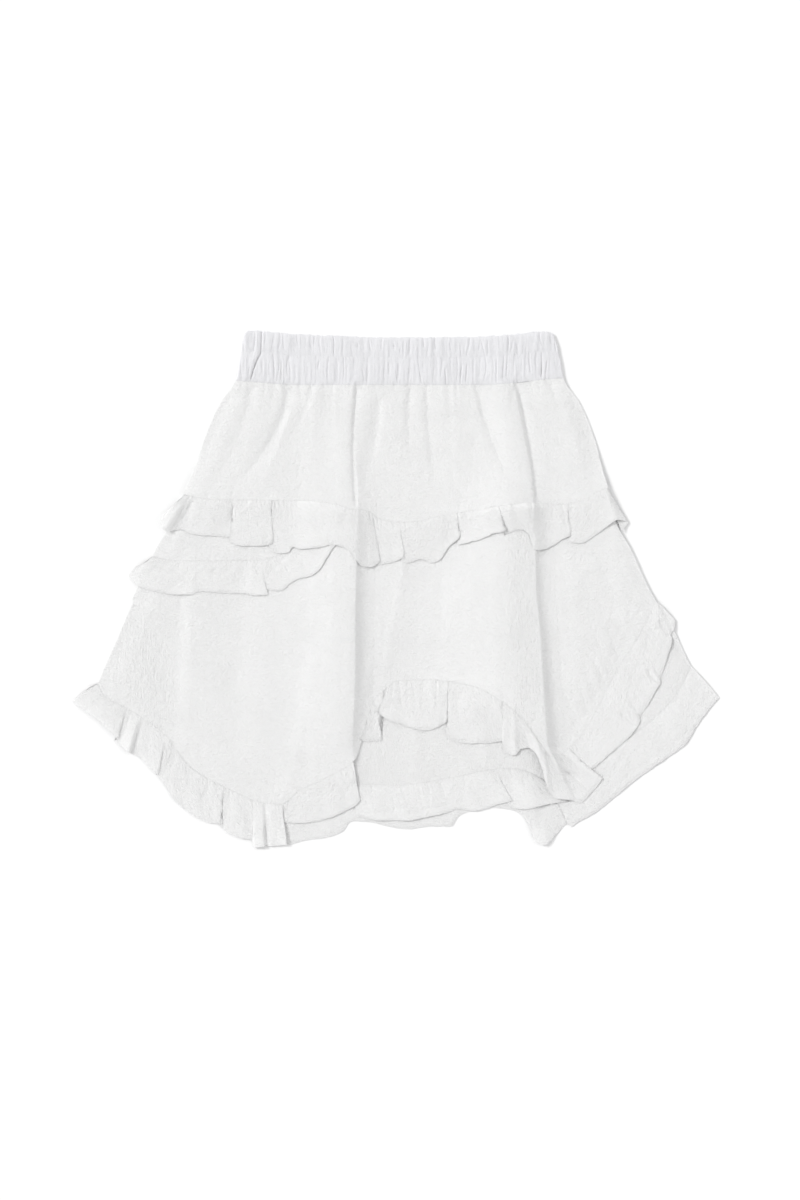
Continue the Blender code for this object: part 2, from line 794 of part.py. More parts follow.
def lay_front(pile, cloth, casing, yoke):
    """The front pieces, from the underskirt up."""
    pile.settle()
    under_sides = (lambda y: np.full(np.shape(y), -60.0), FRONT_SIDES[1])
    under = panel(pile, "under_front", yoke, edge(UNDER_EDGE), 8, (22,), under_sides, cloth, soft=0.3)
    ruffle(pile, "under_ruffle", under, UNDER_RUFFLE, STEPS, cloth)
    pile.settle()
    over = panel(pile, "over_front", yoke, edge(OVER_EDGE), 12, (11, 7, 8), FRONT_SIDES, cloth, True, 1.0)
    ruffle(pile, "over_ruffle_left", over, OVER_RUFFLE_LEFT, STEPS, cloth)
    ruffle(pile, "over_ruffle_right", over, OVER_RUFFLE_RIGHT, STEPS, cloth)
    pile.settle()
    short_sides = (FRONT_SIDES[0], lambda y: np.full(np.shape(y), -38.0))
    short = panel(pile, "short_tier", yoke, edge(SHORT_EDGE), 5, (14,), short_sides, cloth, soft=0.4)
    ruffle(pile, "short_ruffle", short, SHORT_RUFFLE, STEPS, cloth)
    pile.settle()
    yoke_front = panel(
        pile, "yoke_front", waist_seam, yoke_foot(yoke), 8, (8, 6, 5), FRONT_SIDES, cloth, True, 1.0
    )
    ruffle(pile, "top_ruffle", yoke_front, TOP_RUFFLE, STEPS, cloth)
    band(pile, "waistband_front", 0.0, GATHERS, GATHER_RISE, casing)


def main():
    clear_scene()
    cloth = cotton("white crinkled cotton", (0.86, 0.86, 0.85), 0.85)
    casing = cotton("white gathered casing", (0.87, 0.87, 0.88), 0.8)
    pile = Pile()
    yoke = edge(YOKE_EDGE)
    lay_back(pile, cloth, casing, yoke)
    lay_front(pile, cloth, casing, yoke)


main()
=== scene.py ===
"""Tiered ruffle skirt of white crinkled cotton, laid flat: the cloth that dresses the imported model.

Lengths in the tables are in millimetres, with X across the skirt, Y from the hem to the waist and Z up from the
surface that it lies on. MM turns them into Blender's metres.

The pieces are laid one after another on a pile that keeps the height of the cloth, so each lies on those before it.
"""

from functools import partial

import bpy
import numpy as np
from bpy.props import FloatProperty, FloatVectorProperty, IntProperty, PointerProperty
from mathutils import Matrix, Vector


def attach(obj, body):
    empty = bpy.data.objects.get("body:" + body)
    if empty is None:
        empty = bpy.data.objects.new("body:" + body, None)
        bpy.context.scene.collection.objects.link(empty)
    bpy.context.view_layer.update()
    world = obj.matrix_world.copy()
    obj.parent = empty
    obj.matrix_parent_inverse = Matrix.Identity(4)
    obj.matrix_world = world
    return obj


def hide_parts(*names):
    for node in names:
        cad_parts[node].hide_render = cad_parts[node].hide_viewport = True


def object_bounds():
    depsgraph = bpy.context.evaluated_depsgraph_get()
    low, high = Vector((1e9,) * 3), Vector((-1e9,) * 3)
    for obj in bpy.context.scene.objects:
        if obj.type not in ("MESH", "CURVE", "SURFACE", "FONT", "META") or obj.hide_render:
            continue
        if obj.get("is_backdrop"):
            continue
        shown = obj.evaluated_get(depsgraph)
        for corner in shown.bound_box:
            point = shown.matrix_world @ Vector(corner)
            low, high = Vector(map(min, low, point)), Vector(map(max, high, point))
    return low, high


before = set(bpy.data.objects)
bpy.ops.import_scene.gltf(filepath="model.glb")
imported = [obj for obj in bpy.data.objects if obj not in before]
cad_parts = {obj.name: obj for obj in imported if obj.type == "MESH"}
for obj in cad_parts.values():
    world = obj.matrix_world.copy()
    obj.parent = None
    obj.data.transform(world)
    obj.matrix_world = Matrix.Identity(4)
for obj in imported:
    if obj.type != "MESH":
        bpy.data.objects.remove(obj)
CAD_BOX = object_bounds()

bl_info = {
    "name": "Tiered Ruffle Skirt",
    "version": (1, 0, 0),
    "blender": (4, 5, 0),
    "location": "3D View > Sidebar > Skirt",
    "description": "Lays out a tiered ruffle skirt of white crinkled cotton, piece by piece",
    "category": "Object",
}

MM = 0.001
CENTRE = np.array([0.0, 1.18, 0.0])  # from the tables' origin to the middle of the laid skirt
SAMPLE_STEP = 0.7  # between the points that mark a surface on the pile, so that no cell is missed
LAYER_GAP = 0.08  # between layers that lie on each other
LIES_AT = 0.27  # from the surface under a layer to the middle of its cloth
DRAPE = 2  # how far a layer spans what is under it before it comes down
CARRIED = 4  # how far a pile's height is carried on past its outer edge
SETTLING_ROUNDS = 24  # until a panel's rows lie where its edges put them
BAND_ROUNDS = 5  # the same for the waistband
SPAN, SPAN_SLOPE = 60, 0.06  # how far and how steeply a layer comes down from a step under it
SHARP_RIM = 1.1  # radians, so that a hem's narrow side shades apart from its face
YARN_SPACING = 0.00045  # metres, between the yarns of the weave
STEEP_RISE = 10.0  # height from which a deep fold leans over its own foot
FOOT_REACH, SIDE_REACH = 36, 16  # how far a panel comes down towards its lower edge and towards its sides
HEM_SAMPLES = 6000  # along a ruffle's hem, to measure its length
BACK_RUFFLE_DEPTH = 26.5  # of the ruffles that are hidden under the skirt
BAND_LENGTH, BAND_DEPTH = 240, 38


def table(names, numbers):
    """A table's columns by name. A comma ends each row of its numbers."""
    rows = [[float(number) for number in row.split()] for row in numbers.split(",")]
    return dict(zip(names.split(), np.array(rows).T.copy()))


# The front's side edges and the two deep folds' edges, from the waist down.
LINES = table("y left fold_a fold_b right", """
192 -107.5 -31 83 112, 190.3 -110.3 -31 83.2 113.4, 188 -112.3 -31 83.5 116.2, 167.6 -115.8 -31 85.2 122,
155 -118 -31 86 124, 137 -130 -32 90 136, 110 -142 -31 95 147, 88 -149 -29 99.5 152.5, 70 -157 -28 101 158,
48 -166 -28.5 102 163, 30 -177 -29 103 173, 0 -190 -29.5 103.5 187, -30 -203 -30 106.5 205, -55 -214 -30 108 217,
-90 -229 -31 110 240, -115 -240 -32 112 256, -131 -247 -30 120 266, -145 -253 -27 125 275, -160 -259 -25 132 284
""")

# Deep folds down the skirt: their height, and the width of the cloth that climbs to them.
DEEP = table("y rise_a rise_b climb_a climb_b", """
160 0.8 1.6 14 20, 140 1.6 2.4 20 26, 100 2.8 4.4 34 40, 65 4 6.6 46 52, 20 6.2 8 60 74, -50 7.6 9.4 66 92,
-110 4.6 11.2 66 92, -160 1.8 11.2 60 84
""")

# Across a deep fold: place along the cloth and shares of its height. Left of the edge the place is a share of the
# climb. Right of it the two columns give the distance from the edge where the fold is low, and where it is high.
CROSS = table("place low leaning share_a share_b", """
-1 0 0 0 0, -0.86 0 0 0.06 0.14, -0.72 0 0 0.17 0.36, -0.58 0 0 0.32 0.62, -0.46 0 0 0.48 0.84, -0.36 0 0 0.63 0.97,
-0.26 0 0 0.78 0.97, -0.16 0 0 0.92 0.88, -0.07 0 0 0.99 0.78, 0 0 0 0.95 0.7, 0.08 1.1 0.8 0.79 0.55,
0.16 2.2 1.8 0.63 0.42, 0.26 3.5 3.2 0.47 0.3, 0.36 5 5 0.32 0.19, 0.6 8 8.2 0.12 0.06, 1 13 13 0 0
""")

# Lower edges of the pieces, where their ruffles are sewn on.
YOKE_EDGE = table("x y", """
-160 70, -150 68, -134 65.5, -70 65, -44 62, -33 58.5, -23 57.5, -12 51.5, 0 49, 12 49, 30 53, 60 58, 100 63, 122 62,
138 65, 148 71, 160 75.5
""")
SHORT_EDGE = table("x y", """
-181 24, -170 21.5, -157 20.5, -104 21, -90 23.5, -77 29, -64 36, -50 45.5, -38 54
""")
OVER_EDGE = table("x y", """
-222 -67, -216 -79, -198 -89, -185 -97.5, -169 -110, -156 -128, -146 -136.5, -124 -148, -98 -158.5, -85 -159.5,
-71 -149, -50 -139, -31 -127, -26 -108, -19 -87, -10 -76, 3 -68, 25 -67.5, 55 -71.5, 77 -82.5, 92 -95, 108 -116,
114 -124, 121 -122, 131 -115, 140 -104, 151 -85, 164 -59, 173 -45.5, 181 -32, 188 -18, 193 -6
""")
UNDER_EDGE = table("x y", """
-60 -140, -33 -144, 3 -145.5, 26 -142.5, 40 -140, 60 -136, 77 -133, 92 -134, 107 -140, 115 -145.5, 130 -139, 154 -124,
177 -107, 198 -89, 206 -80, 212 -70.5, 219 -56
""")
BACK_EDGES = table("x over_y under_y", """
-230 26 -66, -200 22 -88, -160 14 -122, -110 6 -150, -60 2 -155, 0 2 -152, 50 3 -150, 100 4 -142, 150 2 -116,
200 -4 -82, 230 -8 -60
""")

# Ruffles, a row for each fold or hollow along them: where it leaves the seam, where it reaches the hem, and its
# height there. Where a fold lies over on its neighbour, the next row goes back under it.
RUFFLE = "seam x y rise"
BACK_RUFFLE = table(RUFFLE, """
-221 -236 -82 0, -200 -212 -103 0, -170 -180 -130 0, -130 -138 -168 0, -98 -100 -186.5 1.6, -84 -82 -189.5 0,
-72 -66 -186 1.6, -60 -53 -184.5 0, -48 -40 -180 1.8, -38 -33 -172 0, -26 -18 -173 1.4, -12 -4 -176.5 0, 2 9 -178 1.8,
18 26 -176 0, 32 41 -176 1.6, 40 46 -169 0, 62 66 -162 0, 78 86 -164 0, 90 98 -174 3.4, 98 103 -187 4.8,
104 110 -189.5 4.8, 110 118 -182 3, 120 130 -170 0, 150 166 -142 0, 190 208 -112 0, 217 236 -81 0
""")
TOP_RUFFLE = table(RUFFLE, """
-156 -166.5 59.5 5, -155.5 -174 50 9, -152.5 -169.5 42 6.5, -148 -159 43.5 1.6, -140.5 -149.5 40 2.6,
-131.5 -138.5 39 3, -124.5 -128 38.5 1.4, -121.5 -119 36.5 0.7, -120 -123.5 35 2.4, -112.5 -114 31.5 3.4,
-99 -99 31.5 3.6, -93 -90.5 33.5 3.4, -91 -94 29.5 0.6, -88.5 -87 26 1, -84 -79.5 27 1.4, -80.5 -76 30.5 1.6,
-74.5 -69 29 2.4, -57.5 -59 30 2.2, -45 -47.5 32 1.2, -34 -35.5 29 2.6, -29 -29 20.5 2.6, -24.5 -24.5 16.5 1,
-21.5 -18 16 3.8, -18.5 -11 21 3.8, -16.5 -13.5 17.5 0.9, -7.5 -2 19.5 1.8, 1.5 6.5 23 4.2, 4.5 3.5 21 0.8,
8 9 19 1.4, 18 18 21.5 2.8, 26.5 26.5 19 1.6, 32.5 32.5 21 1.4, 38.5 38.5 30 2.4, 44.5 48 38 3.4, 46.5 45 32 0.9,
55 63 36.5 1.8, 66 72.5 40.5 3.2, 74 83 42 3, 77 79 39 0.9, 86 91 43.5 2.4, 95.5 97.5 40.5 2.4, 102 102 29 2.2,
107.5 106.5 28.5 0.9, 114.5 115.5 31.5 2, 121.5 123 36.5 3.4, 126 129.5 39 3.4, 128 126.5 34.5 0.9, 136 136 33.5 2,
145 146.5 39 2.6, 151.5 155.5 45.5 4.2, 154.5 163.5 50.5 6, 156 171.5 49 4.6, 157 166.5 42.5 1
""")
SHORT_RUFFLE = table(RUFFLE, """
-180.5 -191.5 16.5 0.5, -179.5 -197.6 9.5 1, -178 -196.5 7.5 1.6, -173 -188.5 1 2, -166 -176 -2.5 1.4,
-157.5 -163.5 -4.5 3, -149.5 -152.5 -4.5 2.8, -145 -146 -2.5 1, -140 -141.5 -2 1.8, -131.5 -131.5 -3 2.8,
-123 -121.5 -3.5 1.5, -114.5 -112.5 -3.5 2.6, -108 -105 -5 3.4, -101.5 -94.5 -4.5 2.8, -97.5 -96 -2 0.9,
-92.5 -84.5 -1 1.9, -88 -78.5 3.5 0.7, -83 -73.5 6.5 0.8, -77 -63.5 9 1, -71 -56 14.5 0.5, -64.5 -50.5 23.5 0.5,
-57.5 -46 30.5 0.8, -50.5 -38.5 36.5 0.8
""")
OVER_RUFFLE_LEFT = table(RUFFLE, """
-221.5 -226 -71.4 0.4, -221.3 -231.5 -76.3 0.5, -221 -236.5 -80.9 0.8, -220.5 -239.2 -83.2 1.2, -220 -237.5 -85.2 1.8,
-217.5 -233 -88.5 2.6, -212.5 -224 -94.5 3.6, -205.5 -214.5 -103 3.8, -200 -205.5 -111.5 3.6, -198 -208.5 -112.5 2,
-194.5 -202 -117.5 3.6, -190 -197.5 -121 5.2, -186.5 -195 -122.5 0.5, -182.5 -189.5 -125 0.9, -178.5 -184 -130 2.4,
-174 -178.5 -136 3.4, -171.5 -175.5 -138 3.6, -168.5 -177.5 -137.5 1, -164.5 -171 -145.5 2, -159 -165 -155 2.6,
-152.5 -157 -163 1.4, -145 -148 -169 2.6, -136 -137 -173.5 1.6, -129 -128 -174.5 3.6, -126 -131 -175 0.8,
-121.5 -123 -181.5 2.2, -114 -114 -184.5 3, -107.5 -106.5 -186 1.2, -104.5 -105 -191.5 3.8, -98.5 -97.5 -190.5 4.6,
-96 -96 -189 0.8, -93 -94.5 -190.5 2.4, -88 -86 -190 3.4, -85 -80.5 -189 4.4, -82 -86 -180 0.8,
-78.5 -81.5 -173.5 1.4, -70.5 -69.5 -173.5 2.6, -59 -57.5 -172 1.5, -49 -46 -168.5 2.8, -40 -36.5 -164 2.2,
-34 -29.5 -160 1.8, -31.6 -26.5 -157 1.6
""")
UNDER_RUFFLE = table(RUFFLE, """
-32.5 -29 -168.5 0.6, -25 -22 -170 2.6, -15 -10.5 -171.5 4.2, -5 -1.5 -171.5 3.2, 3 9 -171.5 4.4, 15 20.5 -169.5 3.4,
26 32.5 -167 3.8, 33.5 41.5 -164.5 1.2, 39 44.5 -163 1.4, 49 57 -164.5 2.8, 59 67.5 -162.5 1.4, 68 76 -159.5 3,
72.5 86.5 -157 3.6, 76 83 -161 0.9, 82 92.5 -163 1.4, 87.5 97.5 -163 2.6, 93 106.5 -161 3.4, 100.5 118.5 -158.5 3.8,
107.5 129 -157.5 3.6, 111 122 -161 1.6, 114.5 129 -176 0.9, 120 134 -173 1.4, 130 145 -167 3, 142 157.5 -158 1.4,
154 170 -147 3, 166 183 -137.5 1.4, 177.5 195.5 -128.5 3, 188.5 207 -121 1.2, 197 214.5 -115 2.8,
205.5 222 -102.5 1.2, 213 231 -90 2.2, 218.5 239 -80.5 0.8
""")
OVER_RUFFLE_RIGHT = table(RUFFLE, """
-30.5 -44 -114 0.5, -28 -38 -113 0.5, -26 -33 -112 0.5, -24 -29 -112 0.8, -18.5 -20 -113 1.6, -11 -10.5 -112 1,
-6 -14 -91.5 3.8, 1.5 -4.5 -97.5 4.2, 9 5 -100.5 3, 16.5 13.5 -103.5 3.4, 25 22 -105 2.4, 31 29.5 -103 3,
37.5 38.5 -98 3.6, 40 36.5 -107.5 1, 45 44.5 -113 1.6, 53.5 55.5 -114.5 3, 62 66.5 -114.5 1.8, 71 77 -113 3.2,
76 83 -115 4, 80 78.5 -119.5 1, 83.5 83.5 -123 1.4, 86.5 88 -123 4.4, 90.5 92.5 -118.5 4.6, 95.5 97.5 -117.5 5,
100.5 103.5 -122 6.4, 105 107.5 -132 8, 109 110.5 -143 8, 111.5 117.5 -154.5 6, 113.5 130 -156.5 4.6,
115.5 132 -157.5 4, 118.5 136 -159 0.6, 123.5 151 -143 3.8, 126.5 152.5 -140 4.2, 129 140.5 -137.5 1,
133 149.5 -130 2.2, 140.5 159 -121.5 2.4, 148 168.5 -113.5 1.2, 154 176 -105.5 3.4, 158.5 180.5 -97.5 3.6,
161.5 180.5 -95 1, 166 185.5 -87 2, 171.5 191.5 -76.5 3.2, 175.5 195.5 -69 3.8, 178.5 195.5 -66 1, 181.5 198.5 -58 2,
185.5 201.5 -47 4, 189.5 204 -39 4, 192.5 203.5 -33 3, 197 205.5 -30 1.8, 201.5 206.5 -23.5 0.8
""")

# Soft folds of the panels, spreading from the gathers: three points down the fold, half widths at its two ends, and
# its height. Negative heights are troughs.
FOLD = "x1 y1 x2 y2 x3 y3 start left right height"
YOKE_FOLDS = table(FOLD, """
-80.7 154 -88.5 117 -121 75 0.22 5.5 10 -1.8, -80 126 -86 110 -99 74 0.4 4 7 0.8,
-60 153 -66 136 -77 112 0.4 4 5 -0.8, -60 149 -61.5 112 -62 68 0.5 7 14 0.9, -106 151 -116 114 -140 68 0.4 8 8 -0.9,
-108 154 -108.5 148 -110 140 0.5 2 3 -1.1, -89 153 -90 148 -91 139 0.5 2 4 -0.6, -44 146 -44.6 120 -45 92 0.5 3 8 0.5,
-28.4 153 -30.8 128 -26.5 36 0.7 2 4 -2.1, -12 136 -16.5 106 -24 74 0.5 8 5 -1.5,
11 153 8.8 128 10.8 98 0.45 2.6 6 -1.5, 22.4 153 23 128 29 76 0.4 2.6 7 -1.3, 39 153 40 138 40 116 0.4 4 5 -0.5,
42 146 43 124 46 92 0.4 3 7 0.5, 58.2 154 68 118 88 70 0.25 4 15 -1.9, 88.5 154 96.2 120 104 30 0.5 2.6 6 -2.4,
96.6 157 98.5 146 103 126 0.4 3 5 -1, 111 156 117 143 120 126 0.4 3 6 -0.8, 124 148 130 120 138 84 0.5 9 9 0.8
""")
OVER_FOLDS = table(FOLD, """
-159 10 -162 -50 -163 -112 0.7 24 7 -1.8, -150 14 -153 -48 -155 -120 0.7 6 16 0.6,
-114 14 -116 -50 -122 -140 0.7 18 14 -1.4, -94 0 -99 -60 -108 -152 0.7 14 14 0.6,
-64 -62 -71 -110 -86 -165 0.4 3.4 11 0.5, -72 -66 -80 -112 -96 -160 0.5 15 6 -0.5,
-46 20 -47 -40 -46 -120 0.6 9 9 0.8, 6 24 -3 -31 -10 -76 0.6 5 8 0.9, 17 24 13 -20 8 -70 0.6 9 8 -0.3,
33 28 32.6 -20 30 -62 0.5 4 5 -0.5, 56 30 55 -20 53 -66 0.6 9 9 0.3, 126 40 134 -20 136 -86 0.6 14 14 1.2,
148 40 160 -10 166 -52 0.6 12 12 -1, 162 42 176 4 186 -24 0.6 9 9 0.9, 178 -12 184 -16 190 -20 1 2.4 3 -0.6,
172 -20 177 -30 182 -36 0.8 2.2 3 -0.6, 164 -28 172 -42 176 -50 0.7 2.4 3 -0.5,
160 -40 166 -54 170 -62 0.7 2.2 3 -0.7, 152 -46 160 -64 165 -74 0.7 2.4 3 -0.5,
150 -62 156 -76 159 -84 0.7 2.2 3 -0.7, 142 -66 149 -86 153 -94 0.7 2.4 3 -0.5,
138 -80 143 -94 147 -104 0.7 2.2 3 -0.6, 128 -86 135 -104 138 -114 0.7 2.6 3 -0.6
""")
UNDER_FOLDS = table(FOLD, """
-33 -100 -32 -126 -29 -150 0.8 10 9 2.4, 14 -106 16 -126 14 -146 0.6 7 7 0.9, 42 -108 40 -124 40 -146 0.6 7 7 -1,
64 -110 66 -124 70 -144 0.6 7 7 1.1, 196 -40 206 -56 214 -70 0.6 8 9 1
""")
SHORT_FOLDS = table(FOLD, """
-160 40 -162 32 -164 22 0.6 6 7 0.8, -140 42 -141 32 -142 20 0.6 6 7 -0.8, -118 44 -118 34 -119 20 0.6 6 7 0.8,
-92 48 -90 38 -88 24 0.6 6 7 -0.8
""")

# Hollows in the ruffles, in the same form.
TOP_HOLLOWS = table(FOLD, """
-152 61 -155 53 -159 43 0.4 2.4 3 -1.6, -120.5 58 -123 48 -124 40 0.3 2 1.4 -1.4
""")
SHORT_HOLLOWS = table(FOLD, """
-166 25 -174 17 -184 11 0.5 3 3 -1.6, -152 23 -153 12 -157 -1 0.5 3.5 3.5 -1.4, -133 20 -134 14 -137 6 0.5 3 3 -0.8,
-111 22 -112 12 -113 -1 0.5 4 4 -1.5
""")
LEFT_HOLLOWS = table(FOLD, """
-198 -87 -200.5 -98 -204.5 -114 0.3 1.6 4 -2.4, -185.5 -94 -189 -108 -193 -124 0.25 2.4 6 -4.2,
-164.5 -116 -167.5 -128 -174.5 -139 0.3 1.6 4 -2.4, -138 -141 -140 -150 -144 -158 0.5 2 2 -1,
-124.5 -146 -127.5 -160 -130 -176 0.4 1.8 4 -1.8, -97.5 -154 -96.5 -170 -96 -190 0.4 1.4 3 -1.6
""")
RIGHT_HOLLOWS = table(FOLD, """
196 -26 199 -32 203 -37 0.6 1.4 3 -2.4, 187 -62 190 -67 195 -71 0.6 1.4 3 -2, 168 -94 172 -98 178 -103 0.6 1.4 3 -2,
130 -138 137 -143 143 -150 0.6 2 6 -4
""")
BACK_HOLLOWS = table(FOLD, """
108 -158 106 -168 105.5 -178 0.6 1.6 8 -2.4
""")

# The band's upper line, a little hollow in the middle, and the seam at its left side.
WAIST_TOP = table("x y", """
-112 191.3, -104 190.6, -78 188.4, -43 186.6, -4 185.6, 35 185.8, 62 186.3, 90 188.4, 111 190.3, 117 188.6
""")
SIDE_SEAM = table("y x", """
190.5 -99.2, 174.3 -99.9, 169.8 -102.1, 160.2 -105.8, 150 -108.2
""")

# Places where the crinkle is stronger: how wide and long they are, and by how much.
CREPE = table("x y wide long more", """
-190 -50 22 44 2.2, -175 -88 20 20 1.2, 90 20 13 34 1.8, 92 -40 13 34 1.8, 94 -90 13 26 1.5, -100 92 24 22 0.8
""")

# Each sheet as cut: width and length in metres, area where it isn't a rectangle, how it is held, and what it lies on.
CUTS = {
    "yoke_back": (0.33, 0.105, 0.0275, "laid", ""),
    "top_ruffle_back": (0.4, 0.029, None, "gathered", ""),
    "waistband_back": (0.3, 0.04, None, "gathered", ""),
    "over_back": (0.4, 0.075, 0.0215, "laid", "top_ruffle_back"),
    "over_ruffle_back": (0.46, 0.029, None, "gathered", ""),
    "under_back": (0.46, 0.235, 0.081, "laid", "over_back over_ruffle_back"),
    "under_ruffle_back": (0.56, 0.032, None, "gathered", ""),
    "under_front": (0.29, 0.225, 0.051, "laid", "under_back"),
    "under_ruffle": (0.35, 0.032, None, "gathered", "under_ruffle_back"),
    "over_front": (0.43, 0.24, 0.07, "laid", "under_front under_back"),
    "over_ruffle_left": (0.27, 0.033, None, "gathered", "under_back under_ruffle_back"),
    "over_ruffle_right": (0.4, 0.034, None, "gathered", "under_front under_ruffle"),
    "short_tier": (0.15, 0.05, 0.0055, "laid", "over_front"),
    "short_ruffle": (0.18, 0.029, None, "gathered", "over_front"),
    "yoke_front": (0.36, 0.105, 0.0305, "gathered", "yoke_back"),
    "top_ruffle": (0.45, 0.033, None, "gathered", "short_tier over_front"),
    "waistband_front": (0.3, 0.04, None, "gathered", "waistband_back"),
}


# ---- Curves and noise


def slopes(xs, ys):
    """Slopes at the knots that keep a cubic between them from overshooting."""
    steps = np.diff(ys) / np.diff(xs)
    same_way = steps[:-1] * steps[1:] > 0
    mean = 2 * steps[:-1] * steps[1:] / np.where(same_way, steps[:-1] + steps[1:], 1)
    return np.concatenate([[steps[0]], np.where(same_way, mean, 0), [steps[-1]]])


def curve(at, xs, ys):
    """A smooth curve through the knots, read at those places. Past either end it holds the end value."""
    if xs[0] > xs[-1]:
        xs, ys = xs[::-1], ys[::-1]
    at = np.clip(np.asarray(at, float), xs[0], xs[-1])
    i = np.clip(np.searchsorted(xs, at) - 1, 0, len(xs) - 2)
    width = xs[i + 1] - xs[i]
    t = (at - xs[i]) / width
    m = slopes(xs, ys)
    ends = (1 + 2 * t) * (1 - t) ** 2 * ys[i] + t * t * (3 - 2 * t) * ys[i + 1]
    return ends + t * (1 - t) * width * ((1 - t) * m[i] - t * m[i + 1])


def line(name, y, rows=LINES):
    """A column of a table that runs down the skirt, read at the heights y."""
    return curve(y, rows["y"], rows[name])


def edge(rows, column="y"):
    """A lower edge as a function of the place across the skirt."""
    return lambda x: curve(x, rows["x"], rows[column])


def ease(t):
    """A smooth step from 0 to 1."""
    t = np.clip(t, 0, 1)
    return t * t * (3 - 2 * t)


YOKE_SEAM, WAIST_LINE = edge(YOKE_EDGE), edge(WAIST_TOP)


def waist_seam(x):
    """The seam under the band, a little higher at the sides, most of all at the right one."""
    return 150.5 + 3.5 * ease((np.abs(x) - 70) / 60) + 1.5 * ease((x - 60) / 60)


def higher(a, b, round_off):
    """The higher of two surfaces, with the corner between them rounded off."""
    return 0.5 * (a + b + np.sqrt((a - b) ** 2 + round_off**2))


def blended(values, i, j, k, m, u, v):
    """The value between columns i and k and rows j and m of a grid, at the shares u and v of the way."""
    low = values[j, i] * (1 - u) + values[j, k] * u
    high = values[m, i] * (1 - u) + values[m, k] * u
    return low * (1 - v) + high * v


class Grain:
    """Repeatable smooth noise from -1 to 1 over a plane, with cells of a given size."""

    SIZE = 256
    SHIFT_X, SHIFT_Y = 91.3, 77.7

    def __init__(self, seed):
        self.values = np.random.default_rng(seed).uniform(-1, 1, (self.SIZE, self.SIZE))

    def at(self, x, y, wide, long):
        x, y = np.asarray(x) / wide + self.SHIFT_X, np.asarray(y) / long + self.SHIFT_Y
        i, j = np.floor(x).astype(int), np.floor(y).astype(int)
        u, v = ease(x - i), ease(y - j)
        i, j = i % self.SIZE, j % self.SIZE
        return blended(self.values, i, j, (i + 1) % self.SIZE, (j + 1) % self.SIZE, u, v)


WRINKLES, GATHERS, WANDER = Grain(11), Grain(23), Grain(37)


def crepe(x, y):
    """How much stronger the crinkle is there than in plain cloth."""
    more = np.zeros(np.shape(x))
    for cx, cy, wide, long, strength in zip(*CREPE.values()):
        more = more + strength * np.exp(-(((x - cx) / wide) ** 2) - ((y - cy) / long) ** 2)
    return more


def crinkle(across, along, upright=True, more=0.0):
    """The cloth's crinkle, as heights: short uneven streaks that run mostly one way."""
    if not upright:
        across, along = along, across
    across = across + 1.2 * WANDER.at(across, along, 9, 12)
    fine = WRINKLES.at(across, along, 1.8, 4.5)
    coarse = WRINKLES.at(across + 40, along - 30, 4.3, 11)
    patches = 1.0 + 0.9 * WANDER.at(across - 70, along + 20, 26, 34)
    heights = fine * 0.07 * (patches + more) + coarse * 0.05 * (patches + 0.5 * more)
    return bpy.context.scene.skirt_cloth.crinkle * heights


def gathers(across, down, reach, spacing=3.4, seed=0.0):
    """Uneven waves that a gathered seam throws into the cloth under it, fading over their own reaches."""
    wave = GATHERS.at(across + seed, down * 0.16, spacing, 9)
    broad = GATHERS.at(across - seed, down * 0.16 + 50, spacing * 2.3, 14)
    fade = np.exp(-np.maximum(down, 0) / (reach * (1 + 0.55 * WANDER.at(across, 0 * down, spacing * 2.1, 10))))
    return (0.42 * wave + 0.62 * broad) * fade


def pleats(across, down, seed, spacing, deep, reach, half):
    """The depth of narrow pleats that run from a gathered seam, uneven in place, depth, length and slant."""
    draws = np.random.default_rng(seed)
    place, last = float(np.min(across)), float(np.max(across))
    depth = np.zeros(np.broadcast(across, down).shape)
    while place < last:
        place += spacing * draws.uniform(0.35, 1.75)
        slant, length = draws.uniform(-0.22, 0.22), reach * draws.uniform(0.35, 1.6)
        strength, width = deep * draws.uniform(0.2, 1.0) ** 1.4, half * draws.uniform(0.7, 1.5)
        off = (across - place - slant * down) / (width * (1 + 0.9 * np.clip(down / length, 0, 2)))
        depth += strength * np.exp(-off * off - np.maximum(down / length, 0) ** 1.5)
    return depth


# ---- The pile


